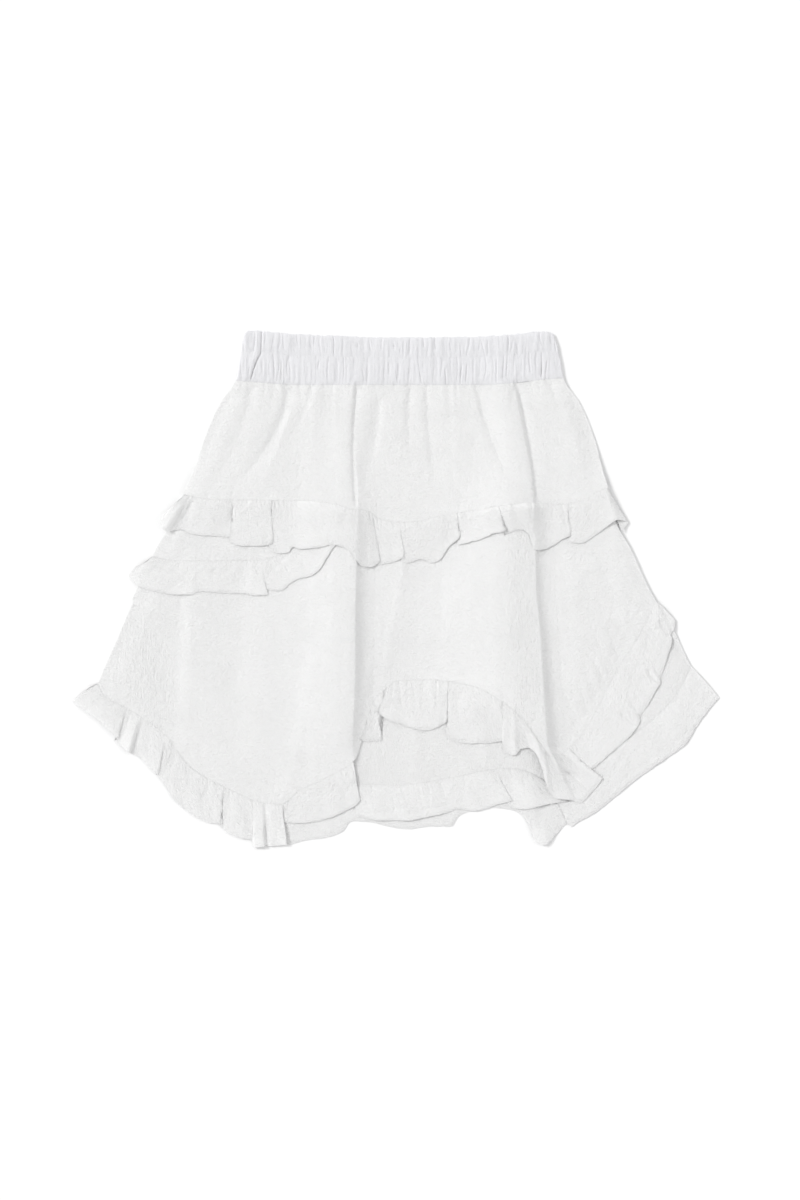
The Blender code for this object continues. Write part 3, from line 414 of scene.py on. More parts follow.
class Pile:
    """How high the cloth lies, on a grid of 1 mm cells: as it is, and with its folds and waves left out.

    What is laid down counts for the next pieces from the next settle on, or at once before the first settle."""

    HALF_X, HALF_Y = 270, 230

    def __init__(self):
        empty = np.zeros((2 * self.HALF_Y, 2 * self.HALF_X))
        self.height = {"folded": empty, "flat": empty.copy()}
        self.settled = dict(self.height)

    def cell(self, x, y):
        """The column and the row of a place, with how far it is into them."""
        i = np.clip(np.asarray(x) + self.HALF_X, 0, 2 * self.HALF_X - 1.001)
        j = np.clip(np.asarray(y) + self.HALF_Y, 0, 2 * self.HALF_Y - 1.001)
        return i, j

    def add(self, kind, points):
        """Lays down a surface that is given as a grid of points."""
        longest = max(np.abs(np.diff(points[..., :2], axis=axis)).max() for axis in (0, 1))
        shares = np.linspace(0, 1, int(np.clip(np.ceil(longest / SAMPLE_STEP), 2, 13)))
        for u in shares:
            rows = points[:-1] * (1 - u) + points[1:] * u
            for v in shares:
                x, y, z = np.moveaxis(rows[:, :-1] * (1 - v) + rows[:, 1:] * v, -1, 0)
                i, j = self.cell(x, y)
                np.maximum.at(self.height[kind], (j.astype(int), i.astype(int)), z)

    def settle(self):
        """Works out the surface that the next layer lies on: it spans the pile's hollows and clears its tops."""
        shifts = range(-DRAPE, DRAPE + 1)
        for kind, height in self.height.items():
            level = np.where(height > 0, height + LAYER_GAP, 0)
            for axis in (0, 1):
                level = np.max([np.roll(level, shift, axis) for shift in shifts], axis=0)
            for _ in range(CARRIED):
                beyond = np.max([np.roll(level, shift, axis) for axis in (0, 1) for shift in (-1, 1)], axis=0)
                level = np.where(level > 0, level, beyond)
            for _ in range(2):
                for axis in (0, 1):
                    level = np.mean([np.roll(level, shift, axis) for shift in shifts[::2]], axis=0)
            self.settled[kind] = level

    def ease_down(self):
        """Works out a third surface: the flat one, where it nowhere falls faster than cloth that spans a step."""
        level = self.settled["flat"]
        for _ in range(SPAN):
            for axis in (0, 1):
                sides = [np.roll(level, shift, axis) - SPAN_SLOPE for shift in (1, -1)]
                level = np.max([level, *sides], axis=0)
        self.settled["eased"] = level

    def rest(self, x, y, kind="folded"):
        """The height of a settled surface."""
        i, j = self.cell(x, y)
        i0, j0 = i.astype(int), j.astype(int)
        return blended(self.settled[kind], i0, j0, i0 + 1, j0 + 1, i - i0, j - j0)


PILE = Pile()
LAID = {}  # the panels' grids of points by name, for what is sewn to them


# ---- Meshes


def steps_for(length, step):
    """How many mesh steps fit a length. The step is a multiple of the panels' own."""
    return max(int(round(length / (step * bpy.context.scene.skirt_cloth.panel_step / MM))), 3)


def closed_faces(rows, columns):
    """Faces of a closed shape whose underside and upper side are grids of points, one after the other."""
    at = np.arange(rows * columns).reshape(rows, columns)
    faces = grid(at[:-1, :-1], at[1:, :-1], at[1:, 1:], at[:-1, 1:]).reshape(-1, 4)
    rim = np.concatenate([at[:, 0], at[-1, 1:], at[-2::-1, -1], at[0, -2:0:-1]])
    ahead = np.roll(rim, -1)
    around = grid(rim, ahead, ahead + at.size, rim + at.size)
    return np.concatenate([faces[:, ::-1], faces + at.size, around])


def placed(name, data):
    """A new object, linked into the scene."""
    thing = bpy.data.objects.new(name, data)
    bpy.context.scene.collection.objects.link(thing)
    return thing


def grid(*coordinates):
    """A grid of points from the grids of their coordinates."""
    return np.stack(coordinates, axis=-1)


def outward(points):
    """The upper side's unit normals at each point of a grid."""
    normal = np.cross(np.gradient(points, axis=1), -np.gradient(points, axis=0))
    return normal / np.maximum(np.linalg.norm(normal, axis=-1, keepdims=True), 1e-9)


def cloth_mesh(node, points, cloth_places, material, creped=None):
    """A closed mesh in the place of a CAD node, from the points of its underside and then of its upper side.

    cloth_places are one side's places on the flat cloth, in millimetres."""
    name = f"{node}_cloth"
    if bpy.data.objects.get(name) is not None:
        raise RuntimeError(f"{name} is already laid")
    mesh = bpy.data.meshes.new(name)
    faces = closed_faces(*cloth_places.shape[:2])
    mesh.from_pydata(((points.reshape(-1, 3) + CENTRE) * MM).tolist(), [], faces.tolist())
    mesh.materials.append(material)
    mesh.shade_smooth()
    mesh.set_sharp_from_angle(angle=SHARP_RIM)
    corners = np.empty(len(mesh.loops), np.int32)
    mesh.loops.foreach_get("vertex_index", corners)
    both_sides = np.tile(cloth_places.reshape(-1, 2), (2, 1))
    mesh.uv_layers.new(name="cloth").data.foreach_set("uv", (both_sides[corners] * MM).ravel())
    if creped is not None:
        values = np.tile(np.float32(creped).ravel(), 2)
        mesh.attributes.new("crepe", "FLOAT", "POINT").data.foreach_set("value", values)
    thing = placed(name, mesh)
    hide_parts(node)
    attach(thing, "root")
    width, length, area, held, under = CUTS[node]


def lay_sheet(name, points, flat_z, cloth_places, material, creped, share=1.0):
    """A thin wall of cloth about a grid of points, laid on the pile. The wall is a share of the cloth's thickness."""
    half = 0.5 * bpy.context.scene.skirt_cloth.wall / MM
    out = half * share * outward(points)
    cloth_mesh(name, np.concatenate([points - out, points + out]), cloth_places, material, creped=creped)
    up = np.array([0, 0, half])
    PILE.add("folded", points + up)
    PILE.add("flat", grid(points[..., 0], points[..., 1], flat_z) + up)


# ---- Panels


# Row numbers of CROSS at which a deep fold's columns stand, closer together on its climb.
CROSS_ROWS = np.arange(len(CROSS["place"]), dtype=float)
CREST, LAST = np.argmax(CROSS["place"] >= 0), len(CROSS_ROWS) - 1
CLIMB_STEPS = np.linspace(0, CREST, 6 * CREST + 1)[:-1]
FOLD_STEPS = np.concatenate([CLIMB_STEPS, np.linspace(CREST, LAST, 2 * (LAST - CREST) + 1)])


def deep_fold(fold):
    """A deep fold as a stretch of a panel: how many columns it has, and their x, height and place."""
    columns = "place", "low", "leaning", "share_" + fold
    place, low, leaning_x, share = (curve(FOLD_STEPS, CROSS_ROWS, CROSS[name])[None, :] for name in columns)

    def stretch(y):
        rise, climb = line("rise_" + fold, y, DEEP), line("climb_" + fold, y, DEEP)
        crest, leaning = line("fold_" + fold, y), ease(rise / STEEP_RISE)
        right = low * (1 - leaning) + leaning_x * leaning
        beyond = 12 * np.maximum(place, 0) ** 1.2
        x = crest + np.where(place < 0, place * climb, right)
        return x, rise * share, crest + np.where(place < 0, place * climb, beyond)

    return len(FOLD_STEPS), stretch


def fold_sides(fold):
    """The first and the last column of a deep fold, as side edges."""

    def left(y):
        return line("fold_" + fold, y) - line("climb_" + fold, y, DEEP)

    def right(y):
        leaning = ease(line("rise_" + fold, y, DEEP) / STEEP_RISE)
        return line("fold_" + fold, y) + CROSS["low"][-1] * (1 - leaning) + CROSS["leaning"][-1] * leaning

    return left, right


def between(left, right, count, first=False, last=False):
    """Columns evenly from one side edge to another, as a stretch of a panel, with the first and the last or not."""
    share = np.linspace(0, 1, count + 2)[0 if first else 1 : None if last else -1]

    def stretch(y):
        low, high = left(y), right(y)
        x = low + share[None, :] * (high - low)
        return x, np.zeros(x.shape), x

    return len(share), stretch


def across(y, stretches):
    """X, fold height and place at every point of a grid of heights y."""
    found, first = [], 0
    for count, stretch in stretches:
        found.append(stretch(y[:, first : first + count]))
        first += count
    return tuple(np.concatenate(parts, axis=1) for parts in zip(*found))


def soft_folds(rows, x, y, fade):
    """The soft folds' heights together. They grow in over the length fade above their first point."""
    total = np.zeros(np.shape(x))
    for x1, y1, x2, y2, x3, y3, start, left, right, height in zip(*rows.values()):
        t = (y1 - y) / (y1 - y3)
        m = (y1 - y2) / (y1 - y3)
        c = np.clip(t, -0.3, 1.3)
        middle = x1 * (c - m) * (c - 1) / m + x2 * c * (c - 1) / (m * (m - 1)) + x3 * c * (c - m) / (1 - m)
        spread = start + (1 - start) * np.clip(t, 0, 1)
        off = np.abs(x - middle) / (np.where(x < middle, left, right) * spread)
        strength = height * (1 - 0.3 * np.clip(t, 0, 1))
        round_off = 0.12 / spread
        shape = np.exp(-(np.sqrt(off * off + round_off**2) - round_off) ** 1.25)
        total = total + strength * ease((y1 - y) / fade + 1) * ease((1.12 - t) * 2.4) * shape
    return total


def straight_side(x):
    return lambda y: np.full(np.shape(y), float(x))


SIDES = partial(line, "left"), partial(line, "right")


def down_to(side, bottom):
    """A side edge that goes straight down from its corner with the lower edge."""
    y = np.arange(200.0, -200.0, -0.5)
    corner = y[np.argmax(y <= bottom(side(y)))]
    return lambda y: side(np.maximum(y, corner))


def stretches_of(left, right, counts):
    """A panel's columns. Three counts are for the cloth on the left of, between and on the right of the deep folds."""
    if len(counts) == 1:
        return [between(left, right, counts[0], True, True)]
    (a_left, a_right), (b_left, b_right) = fold_sides("a"), fold_sides("b")
    return [
        between(left, a_left, counts[0], first=True),
        deep_fold("a"),
        between(a_right, b_left, counts[1]),
        deep_fold("b"),
        between(b_right, right, counts[2], last=True),
    ]


def lay_panel(
    name, top, bottom, length, widths, sides=SIDES, steps=(1, 1), folds=None, fade=6.0, upright=True, gather=0.6,
    reach=14, ticks=1.0, puff=0.0, puff_from=0.0, clear=0.5, creped=0.0, spans=False,
):
    """A panel between an upper and a lower edge, which give y for places across the skirt.

    widths are one width, or three beside and between the deep folds. A panel that spans eases down over steps under
    it and meets what its lower edge lies on."""
    if LAID:
        PILE.settle()
    rows, counts = steps_for(length, steps[0]), [steps_for(width, steps[1]) for width in widths]
    stretches = stretches_of(*(down_to(side, bottom) for side in sides), counts)
    share = np.linspace(0, 1, rows)[:, None]
    y = np.zeros((rows, sum(count for count, _ in stretches)))
    for _ in range(SETTLING_ROUNDS):
        place = across(y, stretches)[2]
        upper = top(place)
        y = 0.5 * (y + upper + share * (bottom(place) - upper))
    x, lift, place = across(y, stretches)
    if spans:
        PILE.ease_down()
    flat = PILE.rest(x, y, "eased" if spans else "flat")
    down, up, inside = upper - y, y - bottom(place), np.minimum(x - x[:, :1], x[:, -1:] - x)
    # Gathers and narrow pleats run down from the upper seam and, shorter, up from the lower one.
    wrinkles = gather * gathers(place, down, reach, seed=len(name) * 7.0) * ease(down / 3 + 0.15)
    narrow = pleats(place, down, seed=100 + len(name), spacing=6.0, deep=1.1, reach=reach * 0.7, half=0.9)
    wrinkles = wrinkles - ticks * gather * narrow
    wrinkles = wrinkles + 0.4 * gather * gathers(place, up, reach=5, spacing=3.0, seed=60.0) * ease(up / 2.5)
    narrow = pleats(place, up, seed=200 + len(name), spacing=5.0, deep=0.5, reach=4.0, half=0.8)
    wrinkles = wrinkles - ticks * gather * narrow * ease(up / 1.5)
    soft = soft_folds(folds, x, y, fade) * ease(up / 8 + 0.2) if folds else 0
    puffed = puff * ease((down - puff_from) / 24 + 0.12) * ease(up / FOOT_REACH) * ease(inside / SIDE_REACH)
    folded = flat + lift + puffed + soft + clear * ease(inside / SIDE_REACH + 0.15) + wrinkles
    crinkled = folded + crinkle(place, y, upright, crepe(x, y))
    z = higher(crinkled, PILE.rest(x, y), round_off=0.3) + LIES_AT
    if spans:
        missing = np.clip(PILE.rest(x[-1], y[-1] - 4) + 0.9 - z[-1], 0, 2)
        missing = np.convolve(np.pad(missing, 8, "edge"), np.ones(17) / 17, "valid")
        z = z + missing * ease(1 - up / FOOT_REACH)
    LAID[name], places = grid(x, y, z), grid(place, y) if upright else grid(y, place)
    lay_sheet(name, LAID[name], flat + LIES_AT, places, cotton(upright), np.minimum((crepe(x, y) + creped) / 2, 1))


# ---- Ruffles


def lengths_along(points):
    """How far along a line each of its points is."""
    return np.concatenate([[0], np.cumsum(np.linalg.norm(np.diff(points, axis=0), axis=1))])


def lay_ruffle(
    name, panel, rows, coarse=1.0, levels=20, gather=1.0, flutes=0.45, tucks=0.4, tick_reach=8.0, folds=None,
    stitched=0.0,
):
    """A gathered strip from a panel's lower edge to its own hem, with the folds that the rows give."""
    seam = LAID[panel][-1]
    number = np.arange(len(seam), dtype=float)
    forward = np.maximum.accumulate(seam[:, 0]) + number * 1e-4
    # Columns stand evenly along the hem, where the rows' folds are the knots of one smooth line.
    knots = np.arange(len(rows["seam"]), dtype=float)
    dense = np.linspace(0, knots[-1], HEM_SAMPLES)
    far = lengths_along(grid(curve(dense, knots, rows["x"]), curve(dense, knots, rows["y"])))
    spacing = coarse * bpy.context.scene.skirt_cloth.hem_spacing / MM
    at = np.interp(np.linspace(0, far[-1], int(far[-1] / spacing) + 2), far, dense)
    far = np.interp(at, dense, far)
    hem_x, hem_y, rise, seam_x = (curve(at, knots, rows[c]) for c in ("x", "y", "rise", "seam"))
    seam_at = np.maximum.accumulate(np.interp(seam_x, forward, number))
    start = grid(*(np.interp(seam_at, number, column) for column in seam.T))
    hem = grid(hem_x, hem_y)
    t = np.concatenate([np.linspace(0, 1, levels)[:-1] ** 0.92, [0.965, 1.0]])[:, None]
    run = hem - start[:, :2]
    depth = np.linalg.norm(run, axis=1)
    unit = run / depth[:, None]
    hem = hem + unit * (0.3 * WANDER.at(far, 0 * far, 2.6, 9))[:, None]
    where = start[:, :2] * (1 - t[..., None]) + hem * t[..., None]
    side_step = grid(-unit[:, 1], unit[:, 0])
    sway = 0.8 * WANDER.at(far + 0 * t, t * depth, 7, 16) * t * (1 - t) * 2.5
    where = where + side_step * sway[..., None]
    x, y = where[..., 0], where[..., 1]
    rest, down, far_all = PILE.rest(x, y), t * depth, far + 0 * t
    along_seam = lengths_along(start)[None, :] * (1 - t) + far * t
    tucked = tucks * gather * gathers(along_seam, down, reach=12, seed=len(name) * 5.0) * ease(down / 4)
    ticks = pleats(along_seam, down, seed=300 + len(name), spacing=4.6, deep=1.1, reach=tick_reach, half=0.5)
    ticks = 0.85 * gather * ticks * ease(down / 0.8 + 0.3)
    waves = 0.2 * gather * GATHERS.at(far_all, t * 12, 5.5, 10) * t
    lift = np.maximum(start[:, 2] - LIES_AT - rest[0], 0)
    held = np.maximum(0.5 * gather - lift, 0) * ease(down / 6) * (1 - t**2.5)
    stands = rise * (0.05 + 0.95 * ease(rise / 7)) * (flutes + (0.9 - flutes) * ease((rise - 5) / 3))
    wave = stands * (0.25 * t + 0.75 * (1 - (1 - t) ** 1.7))
    creases = soft_folds(folds, x, y, 4) if folds else 0
    stitches = stitched * np.exp(-((((1 - t) * depth - 6) / 0.8) ** 2))
    base = rest + lift * (1 - ease(t)) + held + wave
    z = higher(base + tucked - ticks + waves + creases - stitches, rest, round_off=0.25)
    at_hem = ease((t - 0.9) / 0.1)
    z = z + crinkle(far_all, down) * ease(down / 1.5) + LIES_AT - 0.16 * at_hem
    flat = PILE.rest(x, y, "flat") + LIES_AT
    creped, share = 0.25 + 0 * flat, (1 - 0.6 * at_hem)[..., None]
    lay_sheet(name, grid(x, y, z), flat, grid(far_all, down), cotton(), creped, share)


def plain_rows(panel, count):
    """Rows for a ruffle that the skirt's weight keeps nearly flat."""
    seam, fold = LAID[panel][-1], np.arange(count)
    x = np.linspace(seam[0, 0], seam[-1, 0], count)
    y = np.interp(x, seam[:, 0], seam[:, 1]) - BACK_RUFFLE_DEPTH
    hem_x = x * (1 + 0.5 * BACK_RUFFLE_DEPTH / x.max())
    return {"seam": x, "x": hem_x, "y": y + 1.2 * np.sin(fold * 1.9), "rise": 0.25 + 0.25 * np.sin(fold * 2.4)}


# ---- Waistband


def pleat_valleys(x, v, seed, count, low, high):
    """Narrow valleys down one channel of the band, from v low to high, uneven in place, depth, width and slant."""
    draws = np.random.default_rng(seed)
    depth = np.zeros(x.shape)
    t = (v - low) / (high - low)
    for k in range(count):
        middle = -124 + (k + draws.uniform(0.1, 0.9)) * 250.0 / count
        slant, bend = draws.uniform(-2.2, 2.2), draws.uniform(-0.7, 0.7)
        deep, half = draws.uniform(0.15, 1.1) ** 1.5, draws.uniform(0.35, 0.8)
        start, stop = draws.uniform(-0.5, 0.45), draws.uniform(0.55, 1.5)
        off = (x - middle - slant * (t - 0.5) - bend * np.sin(5 * t)) / half
        depth = depth + deep * ease((t - start) * 5) * ease((stop - t) * 5) * np.exp(-off * off)
    return depth


def lay_band(name, steps, pleats_across, seed, yoke=None):
    """One side of the waistband: a plain inside, and gathers on the outside over two channels of elastic."""
    settings = bpy.context.scene.skirt_band
    levels, columns = steps_for(BAND_DEPTH, steps[0]), steps_for(BAND_LENGTH, steps[1])
    share = np.linspace(0, 1, columns)[None, :]
    v = (1 - np.cos(np.linspace(0, np.pi, levels))) / 2
    v = (0.35 * v + 0.65 * np.linspace(0, 1, levels))[:, None]
    x = np.zeros((levels, columns))
    for _ in range(BAND_ROUNDS):
        top = WAIST_LINE(x)
        y = top + v * (waist_seam(x) - top)
        left, right = line("left", y), line("right", y)
        x = left + share * (right - left)
    middle = settings.stitch_place
    upper, lower = v / middle, (v - middle) / (1 - middle)
    swell = np.sin(np.pi * np.clip(np.where(v < middle, upper, lower), 0.0, 1.0)) ** 0.55
    channels = (seed, 0.0, middle), (seed + 5, middle, 1.0)
    valleys = [pleat_valleys(x, v, draws, pleats_across, low, high) for draws, low, high in channels]
    valleys = np.where(v < middle, *valleys)
    fine_pleats = 0.35 * GATHERS.at(x + seed, v * 9, 1.9, 6) + 0.3 * GATHERS.at(x - seed, v * 9 + 30, 3.6, 9)
    edges = ease(np.minimum(share, 1 - share) * 120 + 0.5)
    gather = settings.gather_rise / MM
    off_seam = x - line("x", y, SIDE_SEAM)
    side_roll = 1.3 * np.exp(-((off_seam / 0.6) ** 2)) - 0.7 * np.exp(-(((off_seam + 3.2) / 2.4) ** 2))
    over_thick = 1.5 + 0.3 * swell + gather * (fine_pleats - valleys) * (0.5 + 0.5 * swell)
    over_thick = np.maximum(over_thick - (side_roll if yoke is not None else 0), 0.4)
    over_thick = over_thick * (0.85 + 0.15 * ease(v * 14))
    y = y + (1 - ease(v * 6)) * 0.45 * (GATHERS.at(x, 0 * x, 2.6, 9) - valleys * 0.35)
    under = PILE.rest(x, y)
    over = under + over_thick * edges
    if yoke is not None:
        foot = np.interp(x[-1], yoke[0, :, 0], yoke[0, :, 2] + 0.1)
        smooth = np.convolve(np.pad(foot - over[-1], 20, "edge"), np.ones(41) / 41, "valid")
        over = over + v * smooth + ease((v - 0.88) / 0.12) * (foot - over[-1] - smooth)
    both = np.concatenate([grid(x, y, under), grid(x, y, over)])
    cloth_mesh(name, both, grid(x, y), casing_cotton())
    for kind in PILE.height:
        PILE.add(kind, both[levels:])


# ---- Cloth finishes


def fill(tree, node, sockets):
    """Sets a node's sockets, by name or number, to values, or links them from other nodes."""
    for name, value in sockets.items():
        if isinstance(value, bpy.types.NodeSocket):
            tree.links.new(value, node.inputs[name])
        else:
            node.inputs[name].default_value = value


def from_node(tree, kind, output, sockets=None, **settings):
    """The output of a new node."""
    node = tree.nodes.new("ShaderNode" + kind)
    for name, value in settings.items():
        setattr(node, name, value)
    fill(tree, node, sockets or {})
    return node.outputs[output]


def noise(tree, source, scale, detail=2.0, roughness=0.5):
    """Uneven spots of about 1 / scale metres."""
    sockets = {"Scale": scale, "Detail": detail, "Roughness": roughness, "Vector": source}
    return from_node(tree, "TexNoise", "Fac", sockets)


def stretched(tree, source, along):
    """The places on the cloth, scaled along its length."""
    return from_node(tree, "Mapping", "Vector", {"Scale": (1.0, along, 1.0), "Vector": source})


def yarns(tree, source, direction, spacing):
    """Rows of yarn across the cloth, a little uneven."""
    sockets = {"Scale": 2 * np.pi / (20 * spacing), "Distortion": 1.4, "Detail Scale": 0.4, "Vector": source}
    return from_node(tree, "TexWave", "Fac", sockets, bands_direction=direction)


def combined(tree, operation, *values):
    """One sum of values that are numbers or come from nodes."""
    return from_node(tree, "Math", "Value", dict(enumerate(values)), operation=operation)


def bumped(tree, height, distance, strength, **under):
    """A surface with those heights, on one that is bumped already or on a smooth one."""
    return from_node(tree, "Bump", "Normal", {"Distance": distance, "Strength": strength, "Height": height, **under})


def tones(tree, height, dark, light, low=0.3, high=0.7):
    """Colours from dark to light by height."""
    colour = from_node(tree, "ValToRGB", "Color", {"Fac": height})
    ends = colour.node.color_ramp.elements
    ends[0].position, ends[1].position = low, high
    ends[0].color, ends[1].color = (*dark, 1), (*light, 1)
    return colour


def new_material(name):
    material = bpy.data.materials.new(name)
    material.use_nodes = True
    return material, material.node_tree, material.node_tree.nodes["Principled BSDF"]


def woven_cotton(name, colour, crinkle_long, roughness):
    """White cotton: plain weave, fine crinkle that runs along the cloth, and a slightly uneven tone."""
    material, tree, shader = new_material(name)
    flat = from_node(tree, "UVMap", "UV", uv_map="cloth")
    streaks = noise(tree, stretched(tree, flat, crinkle_long), scale=480, detail=3.0, roughness=0.6)
    puckers = noise(tree, flat, scale=260)
    weave = [yarns(tree, flat, "X", YARN_SPACING), yarns(tree, flat, "Y", YARN_SPACING * 1.15)]
    weave = combined(tree, "MULTIPLY", *weave)
    creped = from_node(tree, "Attribute", "Fac", attribute_name="crepe")
    crepe_height = combined(tree, "MULTIPLY", noise(tree, stretched(tree, flat, 0.2), scale=850), creped)
    normal = bumped(tree, crepe_height, 0.0009, 1.0)
    for height, distance, strength in ((puckers, 0.0010, 0.5), (streaks, 0.0009, 0.8), (weave, 0.0001, 0.6)):
        normal = bumped(tree, height, distance, strength, Normal=normal)
    patches = noise(tree, flat, scale=38, detail=3.0, roughness=0.6)
    mixed = combined(tree, "MULTIPLY_ADD", streaks, 0.35, patches)
    sockets = {
        "Normal": normal,
        "Base Color": tones(tree, mixed, tuple(0.955 * c for c in colour), tuple(colour), 0.45, 0.9),
        "Roughness": roughness,
        "Specular IOR Level": 0.25,
        "Subsurface Weight": 0.6,
        "Subsurface Radius": (1.0, 1.0, 1.0),
        "Subsurface Scale": 0.001,
        "Sheen Weight": 0.12,
        "Sheen Roughness": 0.5,
    }
    fill(tree, shader, sockets)
    return material


def cotton(upright=True):
    """The cotton of the tiers. On a panel that isn't upright its grain runs across."""
    name, crinkle_long = ("white crinkled cotton", 1.3) if upright else ("white crinkled cotton, cross grain", 2.2)
    colour = bpy.context.scene.skirt_cloth.colour
    return bpy.data.materials.get(name) or woven_cotton(name, colour, crinkle_long, 0.88)


def casing_cotton():
    """The cotton of the band, pressed across by its gathers. Its colour is darker and bluer than the tiers' cotton:
    painted shade of its dense gathers.
    """
    name, colour = "white gathered casing", bpy.context.scene.skirt_band.colour
    return bpy.data.materials.get(name) or woven_cotton(name, colour, 0.2, 0.85)


# ---- Sizes and colours


class SkirtClothSettings(bpy.types.PropertyGroup):
    wall: FloatProperty(
        name="Cloth thickness", description="Thickness of the cotton", default=0.0005, min=0.0002, max=0.001,
        precision=4, unit="LENGTH",
    )
    hem_spacing: FloatProperty(
        name="Ruffle mesh step", description="Distance between mesh columns along a ruffle's hem", default=0.001,
        min=0.0005, max=0.005, precision=4, unit="LENGTH",
    )
    panel_step: FloatProperty(
        name="Panel mesh step", description="Distance between mesh points of a panel", default=0.0014, min=0.0008,
        max=0.008, precision=4, unit="LENGTH",
    )
    crinkle: FloatProperty(
        name="Crinkle", description="Strength of the crinkle pressed into the cloth", default=1.0, min=0.0, max=2.0,
        subtype="FACTOR",
    )
    colour: FloatVectorProperty(
        name="Colour", description="Colour of the cotton", default=(0.872, 0.872, 0.870), size=3, min=0.0, max=1.0,
        subtype="COLOR",
    )


class SkirtBandSettings(bpy.types.PropertyGroup):
    gathers: IntProperty(
        name="Gathers", description="Pleats in each channel of the band", default=72, min=10, max=120
    )
    gather_rise: FloatProperty(
        name="Gather height", description="Height of the pleats over the elastic", default=0.0009, min=0.0,
        max=0.003, precision=4, unit="LENGTH",
    )
    stitch_place: FloatProperty(
        name="Stitch line", description="Place of the stitching between the channels, as a share of the depth",
        default=0.42, min=0.2, max=0.8, subtype="FACTOR",
    )
    # Darker and bluer than the tiers' cotton: painted shade of the band's dense gathers.
    colour: FloatVectorProperty(
        name="Colour", description="Colour of the casing", default=(0.786, 0.786, 0.803), size=3, min=0.0, max=1.0,
        subtype="COLOR",
    )


class SkirtStageSettings(bpy.types.PropertyGroup):
    view_height: FloatProperty(
        name="View height", description="Height of what the camera takes in", default=0.888, min=0.4, max=3.0,
        unit="LENGTH",
    )
    camera_distance: FloatProperty(
        name="Camera distance", description="Height of the camera over the floor", default=2.4, min=1.0, max=6.0,
        unit="LENGTH",
    )
    key_power: FloatProperty(
        name="Key light", description="Strength of the soft light from the upper left", default=1.5, min=0.0, max=10.0
    )
    key_softness: FloatProperty(
        name="Key softness", description="How wide the key light is, as an angle seen from the skirt", default=0.283,
        min=0.0, max=1.5, unit="ROTATION",
    )
    ambient: FloatProperty(
        name="Room light", description="Strength of the even white light all round", default=0.80, min=0.0, max=2.0
    )
    one_sided: FloatProperty(
        name="Bright side", description="How much stronger the room light is from the lower right", default=0.1,
        min=0.0, max=1.0, subtype="FACTOR",
    )
    floor_colour: FloatVectorProperty(
        name="Floor colour", description="Colour of the table top", default=(0.94, 0.94, 0.94), size=3, min=0.0,
        max=1.0, subtype="COLOR",
    )


# ---- Operators


class SKIRT_OT_lay_back(bpy.types.Operator):
    """Lays the back of the skirt face down: yoke, tiers, ruffles and waistband"""

    bl_idname = "skirt.lay_back"
    bl_label = "Lay back"

    def execute(self, context):
        over, under = edge(BACK_EDGES, "over_y"), edge(BACK_EDGES, "under_y")
        panel, ruffle = {"steps": (2.1, 2.1), "clear": 0.1}, {"coarse": 2.4, "levels": 11}
        lay_panel("yoke_back", waist_seam, YOKE_SEAM, 90, (300,), gather=0.2, **panel)
        lay_ruffle("top_ruffle_back", "yoke_back", plain_rows("yoke_back", 60), gather=0.35, **ruffle)
        lay_band("waistband_back", (1.47, 1.05), 24, 71)
        lay_panel("over_back", YOKE_SEAM, over, 60, (400,), gather=0.3, **panel)
        lay_ruffle("over_ruffle_back", "over_back", plain_rows("over_back", 70), gather=0.35, **ruffle)
        lay_panel("under_back", YOKE_SEAM, under, 210, (400,), gather=0.4, **panel)
        ruffle |= {"gather": 0.7, "flutes": 0.8, "folds": BACK_HOLLOWS}
        lay_ruffle("under_ruffle_back", "under_back", BACK_RUFFLE, **ruffle)
        return {"FINISHED"}


class SKIRT_OT_lay_underskirt(bpy.types.Operator):
    """Lays the front of the underskirt with its ruffle, which shows at the lower right"""

    bl_idname = "skirt.lay_underskirt"
    bl_label = "Lay underskirt"

    def execute(self, context):
        lay_panel(
            "under_front", YOKE_SEAM, edge(UNDER_EDGE), 210, (280,), (straight_side(-60), SIDES[1]),
            steps=(1.3, 1.2), folds=UNDER_FOLDS, upright=False, gather=0.5, clear=0.3, creped=0.8,
        )
        lay_ruffle("under_ruffle", "under_front", UNDER_RUFFLE, stitched=0.25)
        return {"FINISHED"}


class SKIRT_OT_lay_overskirt(bpy.types.Operator):
    """Lays the front of the overskirt, with its two deep folds and its ruffle on both sides of the first"""

    bl_idname = "skirt.lay_overskirt"
    bl_label = "Lay overskirt"

    def execute(self, context):
        lay_panel(
            "over_front", YOKE_SEAM, edge(OVER_EDGE), 210, (125, 52, 80), steps=(1.08, 1), folds=OVER_FOLDS, fade=20,
            gather=0.7, reach=20, puff=1.4, puff_from=36,
        )
        ruffle = {"panel": "over_front", "tick_reach": 12}
        lay_ruffle("over_ruffle_left", rows=OVER_RUFFLE_LEFT, flutes=0.8, folds=LEFT_HOLLOWS, **ruffle)
        lay_ruffle("over_ruffle_right", rows=OVER_RUFFLE_RIGHT, folds=RIGHT_HOLLOWS, **ruffle)
        return {"FINISHED"}


class SKIRT_OT_lay_short_tier(bpy.types.Operator):
    """Lays the short end of the overskirt's spiral, at the upper left, with its ruffle"""

    bl_idname = "skirt.lay_short_tier"
    bl_label = "Lay short tier"

    def execute(self, context):
        sides = (SIDES[0], straight_side(-38))
        lay_panel("short_tier", YOKE_SEAM, edge(SHORT_EDGE), 42, (142,), sides, folds=SHORT_FOLDS)
        lay_ruffle("short_ruffle", "short_tier", SHORT_RUFFLE, tucks=0.7, folds=SHORT_HOLLOWS)
        return {"FINISHED"}


